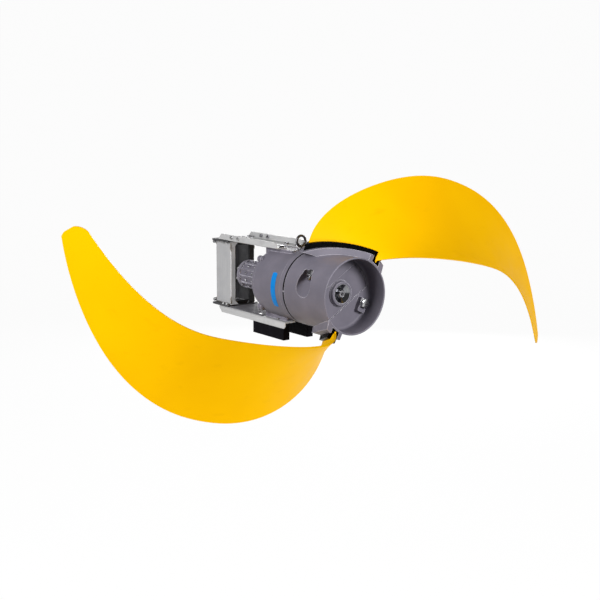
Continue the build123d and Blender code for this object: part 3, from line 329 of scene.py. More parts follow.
@dataclass(frozen=True)
class WorkedMetal(Finish):
    """Bare metal with the marks of its making.

    Attributes:
        grain: how it was worked.
        axis: the direction of brushing, or the axis through the origin that it was turned about.
        mark_mm: spacing of the marks, really some tenths and drawn as coarse as they need to show.
        stain: sRGB hex of the duller patches.
        glide: how far the marks draw a highlight out across them, from 0 to 1.
        edge_mm: radius that the edges are rounded by.
        bare: how metallic the surface is, less where blasting has left it matt.
    """

    grain: Grain = Grain.BRUSHED
    axis: Axis = Axis.Y
    mark_mm: float = 6.0
    stain: str = "#8F9092"
    glide: float = 0.0
    edge_mm: float = 0.0
    bare: float = 1.0

    def marks(self, tree: bpy.types.NodeTree) -> bpy.types.Node:
        """Pattern of the tool marks between 0 and 1: long streaks, rings about the axis, or grains."""
        if self.grain is Grain.BRUSHED:
            scale = tuple(BRUSH_STRETCH if axis is self.axis else 1.0 for axis in Axis)
            return noise(tree, self.mark_mm, 4.0, scale=scale)
        if self.grain is Grain.TURNED:
            place = add_node(tree, "ShaderNodeTexCoord").outputs["Object"]
            flat = {0: place, 1: tuple(0.0 if axis is self.axis else 1.0 for axis in Axis)}
            across = add_node(tree, "ShaderNodeVectorMath", flat, operation="MULTIPLY")
            radius = add_node(tree, "ShaderNodeVectorMath", {0: across}, operation="LENGTH").outputs["Value"]
            ring = add_node(tree, "ShaderNodeCombineXYZ", {0: radius})
            pattern = {"Vector": ring, "Scale": 1 / (self.mark_mm * MM), "Detail": 5.0}
            return add_node(tree, "ShaderNodeTexNoise", pattern)
        return noise(tree, self.mark_mm, 7.0)

    def paint(self, tree: bpy.types.NodeTree) -> dict:
        """Sets a metal whose tool marks vary its colour, gloss and relief."""
        marks = self.marks(tree)
        spots = {0: noise(tree, 70.0, 5.0), 1: 0.4, 2: 0.7, 3: 0.0, 4: 0.6}
        patches = add_node(tree, "ShaderNodeMapRange", spots)
        shade = add_node(tree, "ShaderNodeMapRange", {0: marks, 1: 0.35, 2: 0.65, 3: 0.0, 4: 0.45})
        share = add_node(tree, "ShaderNodeMath", {0: patches, 1: shade}, operation="MAXIMUM")
        stained = {0: share, 6: linear(self.colour), 7: linear(self.stain)}
        depth = {Grain.BRUSHED: 0.04, Grain.TURNED: 0.02, Grain.CAST: 0.4, Grain.GROUND: 0.02}[self.grain]
        inputs = {
            "Base Color": add_node(tree, "ShaderNodeMix", stained, data_type="RGBA").outputs[2],
            "Metallic": self.bare,
            "Roughness": self.uneven(tree, marks, min(0.08, self.roughness / 3)),
            "Normal": self.bump(tree, marks, depth, self.edge_mm),
        }
        if self.glide:
            inputs |= {"Anisotropic": self.glide, "Tangent": self.round_tangent(tree)}
        return inputs

    def round_tangent(self, tree: bpy.types.NodeTree) -> bpy.types.Node:
        """Direction of the turning marks: the place crossed with the turning axis, in world space."""
        place = add_node(tree, "ShaderNodeTexCoord").outputs["Object"]
        line = tuple(1.0 if axis is self.axis else 0.0 for axis in Axis)
        along = add_node(tree, "ShaderNodeVectorMath", {0: place, 1: line}, operation="CROSS_PRODUCT")
        spaces = {"vector_type": "VECTOR", "convert_from": "OBJECT", "convert_to": "WORLD"}
        return add_node(tree, "ShaderNodeVectorTransform", {0: along}, **spaces)


@dataclass(frozen=True)
class Moulded(Finish):
    """Rubber or plastic from a mould: matt, with a fine grain and paler rubbed patches.

    Attributes:
        rubbed: sRGB hex of the rubbed patches.
        grain_mm: size of the surface grain, drawn as coarse as it needs to show.
        relief_mm: height of the grain.
        gloss: specular level.
    """

    rubbed: str = "#2E2E31"
    grain_mm: float = 5.0
    relief_mm: float = 0.2
    gloss: float = 0.12

    def paint(self, tree: bpy.types.NodeTree) -> dict:
        """Sets a dark matt body with rubbed patches and a moulded grain."""
        rubbing = noise(tree, 35.0, 6.0)
        body = blend(tree, rubbing, (0.48, 0.7), 0.8, linear(self.colour), linear(self.rubbed))
        return {
            "Base Color": body,
            "Roughness": self.uneven(tree, noise(tree, 12.0, 5.0), 0.08),
            "Normal": self.bump(tree, noise(tree, self.grain_mm, 3.0), self.relief_mm, 2.0),
            "Specular IOR Level": self.gloss,
        }


@dataclass(frozen=True)
class Film(Finish):
    """Printed polyester film glued on the coat: even and glossy, slightly lifted by what is under it.

    Attributes:
        pale: sRGB hex of the places where the print is thin.
    """

    pale: str = "#2E8BD6"

    def paint(self, tree: bpy.types.NodeTree) -> dict:
        """Sets an even film with faint lightening and a slow wave."""
        thin = noise(tree, 30.0, 4.0)
        film = blend(tree, thin, (0.4, 0.7), 0.3, linear(self.colour), linear(self.pale))
        return {
            "Base Color": film,
            "Roughness": self.uneven(tree, noise(tree, 10.0, 4.0), 0.04),
            "Normal": self.bump(tree, noise(tree, 20.0, 2.0), 0.06),
            "Specular IOR Level": 0.08,
        }


class Finishes:
    """The finishes of the mixer, each named for its real material and how its surface was made, or for the
    shade that it paints.
    """

    # Sprayed coats: the castings satin with edges pale from rubbed wear and painted highlights, the blades
    # smooth and even
    housing = PaintedCasting("epoxy_coated_cast_iron", "#75717C", 0.45)
    blade = GelCoat("yellow_gel_coat", "#FDC000", 0.42)
    # Moulded rubber: nearly black, matt, paler where it is rubbed
    boot = Moulded("moulded_nitrile_rubber", "#020203", 0.26, "#060508", 8.0, 0.1, 0.03)
    foot = Moulded("moulded_foot_rubber", "#08070C", 0.6, "#121118", 6.0, 0.15, 0.05)
    # Painted shadow: black for the strip that fills the seam behind the hub so that it reads dark
    shadow = Moulded("labyrinth_seal_rubber", "#050506", 0.7, "#0B0B0C", 6.0, 0.1, 0.05)
    # The mat's dark grey is partly painted shade: the shade between the bottom bars
    mat = Moulded("grey_rubber_mat", "#626166", 0.6, "#757479", 7.0, 0.3, 0.1)
    # Milled plastic: dark with a soft waxy sheen
    liner = Moulded("grey_machined_polyethylene", "#3A3A3C", 0.45, "#4E4E51", 10.0, 0.1, 0.3)
    # Painted shade: the black strip and lips darken the claw's inside and the gaps through it
    strip = Moulded("black_machined_polyethylene", "#171719", 0.42, "#29292B", 10.0, 0.1, 0.25)
    # Printed film: flat bright blue under a faint gloss
    label = Film("blue_polyester_film", "#0B7ED0", 0.4)
    # Blasted and brushed sheet: pale grey, half matt, streaked along the brushing
    bars = WorkedMetal(
        "brushed_stainless_bar", "#C6C6C6", 0.5, Grain.BRUSHED, Axis.Y, 6.0, "#A0A0A2", edge_mm=1.5, bare=0.65
    )
    claw = WorkedMetal(
        "brushed_stainless_claw", "#ABABAC", 0.5, Grain.BRUSHED, Axis.Z, 6.0, "#98989B", edge_mm=1.5, bare=0.5
    )
    # Pickled plate and drawn rod: duller, the plate mottled and dark with painted shade for the shadow line
    # under the top bars
    plate = WorkedMetal(
        "pickled_stainless_plate", "#68686B", 0.45, Grain.CAST, mark_mm=8.0, stain="#4B4B4E", edge_mm=1.5
    )
    rod = WorkedMetal("drawn_stainless_rod", "#9C9C9E", 0.46, Grain.BRUSHED, Axis.X, mark_mm=4.0)
    # Rolled and turned screws: bright facets, the oiled ones darker and mottled
    fastener = WorkedMetal("stainless_fastener", "#BDBDBD", 0.26, Grain.GROUND, mark_mm=5.0, edge_mm=0.8)
    clamp = WorkedMetal(
        "dark_stainless_bolt", "#B5B4B8", 0.16, Grain.GROUND, mark_mm=7.0, stain="#5C5A60", edge_mm=0.6
    )
    gland = WorkedMetal("turned_stainless_gland", "#B0B0B1", 0.3, Grain.GROUND, mark_mm=5.0)
    # Turned dish: a dark mirror whose highlights spread in wedges across the turning marks
    dish = WorkedMetal(
        "turned_stainless_dish", "#8E8F92", 0.12, Grain.TURNED, Axis.Y, 5.0, stain="#47484B", glide=0.85
    )
    # Forged, cast and welded steel: rough and uneven
    eye = WorkedMetal("forged_steel_eye", "#747377", 0.4, Grain.CAST, mark_mm=9.0, stain="#4A494C")
    iron = WorkedMetal("bare_cast_iron", "#55565A", 0.55, Grain.CAST, mark_mm=14.0, stain="#44454A")
    weld = WorkedMetal("stainless_weld_bead", "#B4B1AC", 0.36, Grain.CAST, mark_mm=5.0, stain="#77706A")
    # Inside: ground gears and bearings, lapped seal faces, stacked sheets and wound wire
    machined = WorkedMetal("ground_gear_steel", "#8E8F92", 0.3, Grain.GROUND, mark_mm=6.0, stain="#737478")
    bearing = WorkedMetal("ground_bearing_steel", "#BDBEC2", 0.18, Grain.TURNED, Axis.Y, mark_mm=3.0)
    carbide = Moulded("lapped_silicon_carbide", "#2A2A2D", 0.2, "#343438", 4.0, 0.02, 0.5)
    laminations = WorkedMetal("stacked_sheet_steel", "#6F7176", 0.4, Grain.BRUSHED, Axis.X, mark_mm=3.0)
    winding = WorkedMetal("varnished_copper_wire", "#A3552B", 0.35, Grain.TURNED, Axis.Y, mark_mm=5.0)


def surface(
    name: str,
    points: np.ndarray,
    finish: Finish,
    home: tuple[str, str],
    closed: tuple[bool, bool] = (False, True),
) -> bpy.types.Object:
    """Puts one or more grids of points into one mesh that rides on a body.

    Each cell of a grid between neighbouring rows and columns becomes one four-sided face. A closed
    direction joins its last line of points to its first, and a row drawn together at a pole is merged.

    Args:
        name: the piece's name.
        points: array of patches, rows, columns and the three coordinates, in mm.
        finish: the piece's finish.
        home: the CAD body that it rides on, and the record's material slot, which is not used.
        closed: whether rows and columns run round.

    Returns:
        The new object.
    """
    patches, rows, columns = points.shape[:3]
    row = np.arange(rows if closed[0] else rows - 1)
    column = np.arange(columns if closed[1] else columns - 1)
    a, b = np.meshgrid(row, column, indexing="ij")
    a_next, b_next = (a + 1) % rows, (b + 1) % columns
    corners = [a * columns + b, a_next * columns + b, a_next * columns + b_next, a * columns + b_next]
    cell = np.stack(corners, axis=-1).reshape(-1, 4)
    faces = (cell[None] + (np.arange(patches) * rows * columns)[:, None, None]).reshape(-1, 4)
    mesh = bpy.data.meshes.new(name)
    mesh.from_pydata(points.reshape(-1, 3) * MM, [], faces)
    joined = bmesh.new()
    joined.from_mesh(mesh)
    bmesh.ops.remove_doubles(joined, verts=joined.verts, dist=MERGE_MM * MM)
    joined.to_mesh(mesh)
    joined.free()
    mesh.polygons.foreach_set("use_smooth", np.ones(len(mesh.polygons), bool))
    mesh.set_sharp_from_angle(angle=math.radians(SHARP_DEGREES))
    mesh.materials.append(finish.build())
    mesh.update()
    piece = bpy.data.objects.new(name, mesh)
    bpy.context.scene.collection.objects.link(piece)
    body, slot = home
    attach(piece, body)
    LOG.info("%s: %d faces, %s", name, len(mesh.polygons), finish.name)
    return piece


def unit(rows: np.ndarray) -> np.ndarray:
    """Directions of length 1."""
    return rows / np.linalg.norm(rows, axis=-1, keepdims=True)


def round_spots(pitch: float, angles: Sequence[float], level: float) -> np.ndarray:
    """Spots on a circle about the drive's axis: pitch times cosine and sine of degrees from +X to +Z."""
    turn = np.radians(angles)
    return np.stack([pitch * np.cos(turn), np.full(turn.shape, level), pitch * np.sin(turn)], axis=-1)


def row_spots(reach: float, places: Sequence[float], level: float) -> np.ndarray:
    """Spots in two rows along Y, at a reach to the left and the right of the middle and at one level."""
    return np.array([[side * reach, place, level] for side in (-1, 1) for place in places])


@dataclass(frozen=True)
class Stand:
    """Where like pieces stand, and which way they point.

    Attributes:
        seats: middle of each seat, in mm.
        axes: direction from each seat to the piece's top, to the rear where none is given.
        firsts: direction of the first column, across the axis.
    """

    seats: np.ndarray
    axes: Sequence = (0, 1, 0)
    firsts: Sequence = (1, 0, 0)

    def spin(self, radius: np.ndarray, height: np.ndarray) -> np.ndarray:
        """Stands one form on every seat.

        A point is its seat, plus the height along the axis, plus the radius across it at an angle
        that goes once round over the columns. Rows run from the top to the foot, so faces point out.

        Args:
            radius: rows by columns, in mm.
            height: rows by columns, in mm.

        Returns:
            Array of pieces, rows, columns and coordinates.
        """
        seats = np.atleast_2d(self.seats)
        axes = unit(np.broadcast_to(np.asarray(self.axes, float), seats.shape))
        firsts = unit(np.broadcast_to(np.asarray(self.firsts, float), seats.shape))
        seconds = np.cross(axes, firsts)
        turn = np.linspace(0, 2 * math.pi, radius.shape[1], endpoint=False)[:, None]
        ring = np.cos(turn) * firsts[:, None] + np.sin(turn) * seconds[:, None]
        along = height[None, ..., None] * axes[:, None, None]
        return seats[:, None, None] + along + radius[None, ..., None] * ring[:, None]

    def piece(
        self, name: str, form: tuple[np.ndarray, np.ndarray], finish: Finish, home: tuple[str, str]
    ) -> bpy.types.Object:
        """Makes and returns the piece that has one form, given as radius and height, on every seat."""
        return surface(name, self.spin(*form), finish, home)


@dataclass(frozen=True)
class Hexagon:
    """Hexagon bolt or nut, chamfered at its corners, on a washer.

    Attributes:
        size: across the flats.
        head: height over the seat.
        shank: radius of the bolt.
        grip: length of the shank under the seat.
        washer: radius of the washer.
        thickness: thickness of the washer.
        stud: length of thread that stands over a nut.
        thread: depth of the thread's grooves.
        pitch: height of a turn or a hollow of the thread.
        chamfered: share of the size that the flat top keeps.
        columns: points round the form.
    """

    size: float
    head: float
    shank: float
    grip: float
    washer: float
    thickness: float
    stud: float = 0.0
    thread: float = 1.2
    pitch: float = 1.5
    chamfered: float = 0.95
    columns: int = 24

    def form(self) -> tuple[np.ndarray, np.ndarray]:
        """Radius and height of the rows, from the top to the foot.

        The flats lie half the size over the cosine of the angle from each flat's middle. The chamfer
        is a cone of 30 degrees, so it falls by the tangent of 30 degrees times the radius beyond it.

        Returns:
            Radius and height, rows by columns.
        """
        turn = np.linspace(0, 2 * math.pi, self.columns, endpoint=False)
        sixth = math.pi / 3
        flats = self.size / 2 / np.cos((turn + sixth / 2) % sixth - sixth / 2)
        land = self.chamfered * self.size / 2
        fall = self.head - (flats - land) * math.tan(math.pi / 6)
        end = self.head + self.stud
        turns = range(int(self.stud // self.pitch))
        thread = [(self.shank - self.thread * (i % 2), end - self.pitch * (i + 1)) for i in turns]
        top = [(0, end), (self.shank - self.thread, end)] + thread if self.stud else [(0, end)]
        under = [(self.washer, self.thickness), (self.washer, 0), (self.shank, 0)]
        upper = np.array(top + [(land, self.head)])
        lower = np.array(under + [(self.shank, -self.grip), (0, -self.grip)])
        ones = np.ones((1, self.columns))
        radius = np.concatenate([upper[:, :1] * ones, flats[None], flats[None], lower[:, :1] * ones])
        height = np.concatenate([upper[:, 1:] * ones, fall[None], self.thickness * ones, lower[:, 1:] * ones])
        return radius, height


def turned(rows: Sequence[tuple[float, float]], columns: int = 32) -> tuple[np.ndarray, np.ndarray]:
    """Round form: each row is a circle of one radius at one height.

    Args:
        rows: radius and height from the top to the foot.
        columns: points round each circle.

    Returns:
        Radius and height, rows by columns.
    """
    outline = np.array(rows, float)
    ones = np.ones((1, columns))
    return outline[:, :1] * ones, outline[:, 1:] * ones


def weld_beads(
    starts: np.ndarray, ends: np.ndarray, radius: float = 3.6, ripple: float = 0.5, scale_length: float = 4.5
) -> np.ndarray:
    """Rippled weld beads along straight lines.

    The radius is that of a long rounded end, the sixteenth root of one less the sixteenth power of the
    distance from the middle, plus a ripple that is bowed like a fish's scale.

    Args:
        starts: first point of each bead, in mm.
        ends: last point of each bead.
        radius: middle radius.
        ripple: height of the ripple.
        scale_length: from one ripple to the next.

    Returns:
        Array of beads, rows, columns and coordinates.
    """
    share = np.linspace(0, 1, 73)
    # Turned backwards, because the rows run along the bead from its start
    turn = -np.linspace(0, 2 * math.pi, 12, endpoint=False)
    line = ends - starts
    length = np.linalg.norm(line, axis=1)
    along = unit(line)
    helper = np.where(np.abs(along[:, 2:]) > 0.9, [[1.0, 0, 0]], [[0, 0, 1.0]])
    first = unit(np.cross(along, helper))
    second = np.cross(along, first)
    taper = (1 - np.abs(2 * share - 1) ** 16) ** (1 / 16)
    scale = (share[None] * length[:, None] / scale_length) % 1.0
    size = taper * (radius - ripple / 2 + ripple * np.sqrt(1 - scale**2))
    ring = np.cos(turn)[:, None] * first[:, None] + np.sin(turn)[:, None] * second[:, None]
    path = starts[:, None] + share[None, :, None] * line[:, None]
    return path[:, :, None] + size[..., None, None] * ring[:, None]


@dataclass(frozen=True)
class SoftBox:
    """Square or oblong lamp behind a diffuser, which faces the object.

    Attributes:
        name: the lamp's name.
        place: its middle, in metres.
        size: its width and height, in metres.
        power: watts.
    """

    name: str
    place: tuple[float, float, float]
    size: tuple[float, float]
    power: float

    def hang(self, target: Vector) -> bpy.types.Object:
        """Makes the lamp.

        Args:
            target: the point that it faces, in metres.

        Returns:
            The lamp.
        """
        data = bpy.data.lights.new(self.name, "AREA")
        data.shape = "RECTANGLE"
        data.size, data.size_y = self.size
        data.energy = self.power
        lamp = bpy.data.objects.new(self.name, data)
        aim = target - Vector(self.place)
        turn = aim.to_track_quat("-Z", "Y").to_matrix().to_4x4()
        lamp.matrix_world = Matrix.Translation(self.place) @ turn
        lamp.visible_camera = False
        bpy.context.scene.collection.objects.link(lamp)
        return lamp


@dataclass
class Studio:
    """Plain pale floor, soft lamps and the photograph's camera.

    Attributes:
        azimuth: degrees from the propeller's axis to the camera.
        elevation: degrees above the level.
        roll: degrees that the camera leans.
        focal_px: focal length in the photograph's pixels.
        frame_px: width of the photograph.
        sensor_mm: width of the camera's sensor.
        target: the hub's front centre, in metres.
        target_px: where that point lies from the photograph's middle, to the right and down.
        distance: from the camera to that point's plane, in metres.
        lit_point: the point that the lamps face, in metres.
        floor_level: height of the floor, under the lowest reach of the turning blades.
        floor_reach: from the origin to the backdrop, in metres.
        floor_bend: radius of the curve between floor and backdrop.
        floor_half_width: to each side.
        backdrop_height: height of the backdrop's top over the floor.
        white: share of plain white that the paper shows the camera.
        mirrored: how white the paper shows in reflections.
        sky: strength of the even sky.
        blades: pieces that have their own soft box in front.
        boots: pieces that, like the blades, are kept out of the soft box that lights the cup.
        steel: pieces that have a soft box of their own to the left.
    """

    azimuth: float = -37.0
    elevation: float = 9.979
    roll: float = 0.2924
    focal_px: float = 1050.05
    frame_px: float = 600.0
    sensor_mm: float = 36.0
    target: tuple[float, float, float] = (0.0, -0.875, 0.0)
    target_px: tuple[float, float] = (55.63, -3.25)
    distance: float = 4.1994
    lit_point: tuple[float, float, float] = (0.0, -0.7, 0.0)
    floor_level: float = -1.32
    floor_reach: float = 9.0
    floor_bend: float = 3.0
    floor_half_width: float = 14.0
    backdrop_height: float = 7.0
    white: float = 0.96
    mirrored: float = 0.6
    sky: float = 0.12
    blades: str = "blade_a blade_b"
    boots: str = "blade_boot_a blade_boot_b"
    steel: str = (
        "claw_channel_left guide_liner_left guide_liner_right claw_channel_right claw_gussets "
        "claw_end_plate_top claw_end_plate_bottom claw_welds cross_rods "
        "top_bar_left top_bar_right bottom_bar_left bottom_bar_right lifting_eye"
    )

    def place_camera(self) -> None:
        """Makes the camera: its back points along the azimuth and elevation, then it rolls."""
        turn, rise, lean = (math.radians(a) for a in (self.azimuth, self.elevation, self.roll))
        back = Vector((math.sin(turn) * math.cos(rise), -math.cos(turn) * math.cos(rise), math.sin(rise)))
        level = Vector((math.cos(turn), math.sin(turn), 0.0))
        upright = back.cross(level)
        right = level * math.cos(lean) + upright * math.sin(lean)
        up = upright * math.cos(lean) - level * math.sin(lean)
        aside, below = (p * self.distance / self.focal_px for p in self.target_px)
        place = Vector(self.target) + back * self.distance - right * aside + up * below
        data = bpy.data.cameras.new("studio_camera")
        data.sensor_width = self.sensor_mm
        data.lens = self.focal_px * self.sensor_mm / self.frame_px
        data.clip_end = 100.0
        camera = bpy.data.objects.new("studio_camera", data)
        camera.matrix_world = Matrix.Translation(place) @ Matrix((right, up, back)).transposed().to_4x4()
        bpy.context.scene.collection.objects.link(camera)
        bpy.context.scene.camera = camera

    def lay_floor(self) -> None:
        """Makes a floor that curves up into a backdrop: height is a quarter circle, then upright."""
        reach, bend = self.floor_reach, self.floor_bend
        turn = np.linspace(0, math.pi / 2, 24)
        along = np.concatenate([[-reach], reach - bend + bend * np.sin(turn), [reach]])
        height = np.concatenate([[0], bend - bend * np.cos(turn), [self.backdrop_height]])
        height += self.floor_level
        x = np.linspace(-self.floor_half_width, self.floor_half_width, 2)
        # The backdrop stands behind the object, away from the camera
        lean = math.radians(self.azimuth)
        side = x[None, :, None] * np.array([math.cos(lean), math.sin(lean), 0])
        depth = along[:, None, None] * np.array([-math.sin(lean), math.cos(lean), 0])
        points = side + depth + height[:, None, None] * np.array([0, 0, 1.0])
        mesh = bpy.data.meshes.new("floor")
        first = 2 * np.arange(len(along) - 1)[:, None]
        faces = first + np.array([0, 1, 3, 2])
        mesh.from_pydata(points.reshape(-1, 3), [], faces)
        mesh.polygons.foreach_set("use_smooth", np.ones(len(faces), bool))
        mesh.materials.append(self.backdrop())
        floor = bpy.data.objects.new("floor", mesh)
        bpy.context.scene.collection.objects.link(floor)

    def backdrop(self) -> bpy.types.Material:
        """White paper that shows plain white to the camera, pale in reflections, and keeps faint shadows."""
        material = bpy.data.materials.new("white_paper")
        material.use_nodes = True
        tree = material.node_tree
        tree.nodes.clear()
        path = add_node(tree, "ShaderNodeLightPath")
        # Light that the paper throws back up is held down, as a matt grey floor would
        held = {0: path.outputs["Is Diffuse Ray"], 6: linear("#F0F0F0"), 7: linear("#3C3C3E")}
        bounce = add_node(tree, "ShaderNodeMix", held, data_type="RGBA").outputs[2]
        paper = add_node(tree, "ShaderNodeBsdfDiffuse", {"Color": bounce})
        glow = add_node(tree, "ShaderNodeEmission", {"Color": (1, 1, 1, 1), "Strength": 1.0})
        mirror = {0: path.outputs["Is Glossy Ray"], 1: self.mirrored}
        seen = add_node(tree, "ShaderNodeMath", mirror, operation="MULTIPLY")
        for ray in ("Is Transmission Ray", "Is Camera Ray"):
            seen = add_node(tree, "ShaderNodeMath", {0: seen, 1: path.outputs[ray]}, operation="MAXIMUM")
        share = add_node(tree, "ShaderNodeMath", {0: seen, 1: self.white}, operation="MULTIPLY")
        both = add_node(tree, "ShaderNodeMixShader", {0: share, 1: paper, 2: glow})
        add_node(tree, "ShaderNodeOutputMaterial", {"Surface": both})
        return material

    def light(self) -> None:
        """Hangs soft boxes far left, in front and behind, two for blades and steel, and an even sky."""
        target = Vector(self.lit_point)
        SoftBox("key_box", (-5.0, -0.9, 2.2), (2.4, 2.4), 320.0).hang(target)
        fill = SoftBox("fill_box", (0.97, -5.6, 1.7), (2.0, 2.0), 295.0).hang(target)
        SoftBox("back_box", (3.9, 3.3, 0.5), (2.4, 2.4), 220.0).hang(target)
        front = SoftBox("blade_box", (0.7, -5.4, -0.85), (2.8, 0.8), 249.0).hang(target)
        side = SoftBox("steel_box", (-3.0, -4.3, 1.0), (1.6, 1.6), 310.0).hang(target)
        # Kept out of the steel's reflections, so that from behind it does not flash white
        side.visible_glossy = False
        self.aim(fill, f"{self.blades} {self.boots}", Share.NOT)
        self.aim(front, self.blades, Share.ONLY)
        self.aim(side, self.steel, Share.ONLY)
        world = bpy.data.worlds.new("studio_sky")
        world.use_nodes = True
        tree = world.node_tree
        # The camera sees plain white, however weak the sky's light is
        seen = {0: add_node(tree, "ShaderNodeLightPath").outputs["Is Camera Ray"], 1: self.sky}
        strength = add_node(tree, "ShaderNodeMath", seen, operation="MAXIMUM").outputs[0]
        sky = tree.nodes["Background"]
        sky.inputs["Color"].default_value = (1.0, 1.0, 1.0, 1.0)
        tree.links.new(strength, sky.inputs["Strength"])
        bpy.context.scene.world = world

    def aim(self, lamp: bpy.types.Object, pieces: str, share: Share) -> None:
        """Lets a lamp light only some pieces, or all but those.

        Args:
            lamp: the lamp.
            pieces: names of the pieces, with spaces between them.
            share: whether it lights those pieces or the others.
        """
        group = bpy.data.collections.new(f"{lamp.name}_pieces")
        lamp.light_linking.receiver_collection = group
        for index, name in enumerate(pieces.split()):
            group.objects.link(bpy.data.objects[name])
            group.collection_objects[index].light_linking.link_state = share.value

    def build(self) -> None:
        """Sets up the whole studio."""
        bpy.context.scene.view_settings.view_transform = "Standard"
        self.lay_floor()
        self.light()
        self.place_camera()


@dataclass
class Assembly:
    """Nodes of the frame that belong together.

    Attributes:
        nodes: the frame's nodes.
    """

    nodes: dict[str, bpy.types.Object]

    def dress(self, names: str, finish: Finish) -> None:
        """Gives CAD nodes a finish in every material slot.

        Args:
            names: node names with spaces between them.
            finish: the finish.
        """
        material = finish.build()
        for name in names.split():
            slots = self.nodes[name].data.materials
            for index in range(len(slots)):
                slots[index] = material
            LOG.info("%s: %s", name, finish.name)


@dataclass
class Propeller(Assembly):
    """Hub, blades, boots and the fasteners that turn with them.

    Attributes:
        clamp: bolt of the hub's clamps.
        cup: bolt on the cup's floor.
        clamp_angles: angles of the scooped pockets.
        clamp_reach: from the axis to a clamp bolt.
        clamp_seat: from the pocket's middle to the bolt's seat.
        clamp_level: the clamp bolts' Y.
        cup_angles: angles of the cup bolts.
        cup_pitch: radius of the cup bolts' circle.
        cup_level: Y of the cup bolts' seats.
    """

    clamp: Hexagon = Hexagon(38.0, 24.0, 10.0, 34.0, 22.0, 3.0, stud=13.5)
    cup: Hexagon = Hexagon(36.0, 15.0, 10.0, 30.0, 21.5, 3.0)
    clamp_angles: tuple[float, ...] = (135.0, 315.0)
    clamp_reach: float = 140.0
    clamp_seat: float = 14.0
    clamp_level: float = -741.0
    cup_angles: tuple[float, ...] = (156.0, 336.0)
    cup_pitch: float = 118.0
    cup_level: float = -799.0

    def fit_bolts(self) -> None:
        """Makes the clamp bolts across their pockets and the cup bolts on their bosses.

        A clamp bolt's seat is its pocket's direction times the reach, plus a step across the pocket.
        """
        turn = np.radians(self.clamp_angles)
        outward = round_spots(1.0, self.clamp_angles, 0.0)
        wrench = np.stack([-np.sin(turn), np.zeros(turn.shape), np.cos(turn)], axis=-1)
        level = np.array([0.0, self.clamp_level, 0.0])
        seats = outward * self.clamp_reach + wrench * self.clamp_seat + level
        stand = Stand(seats, wrench, outward)
        piece = stand.piece("clamp_nuts", self.clamp.form(), Finishes.clamp, HUB_SCREWS)
        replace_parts(piece, "clamp_bolts")
        stand = Stand(round_spots(self.cup_pitch, self.cup_angles, self.cup_level), (0, -1, 0))
        piece = stand.piece("cup_floor_bolts", self.cup.form(), Finishes.fastener, HUB_SCREWS)
        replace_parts(piece, "cup_bolts")

    def build(self) -> None:
        """Dresses the nodes and fits the bolts."""
        self.dress("hub", Finishes.housing)
        self.dress("blade_a blade_b", Finishes.blade)
        self.dress("blade_boot_a blade_boot_b", Finishes.boot)
        self.dress("retaining_screw", Finishes.clamp)
        self.dress("retaining_dish", Finishes.dish)
        self.fit_bolts()


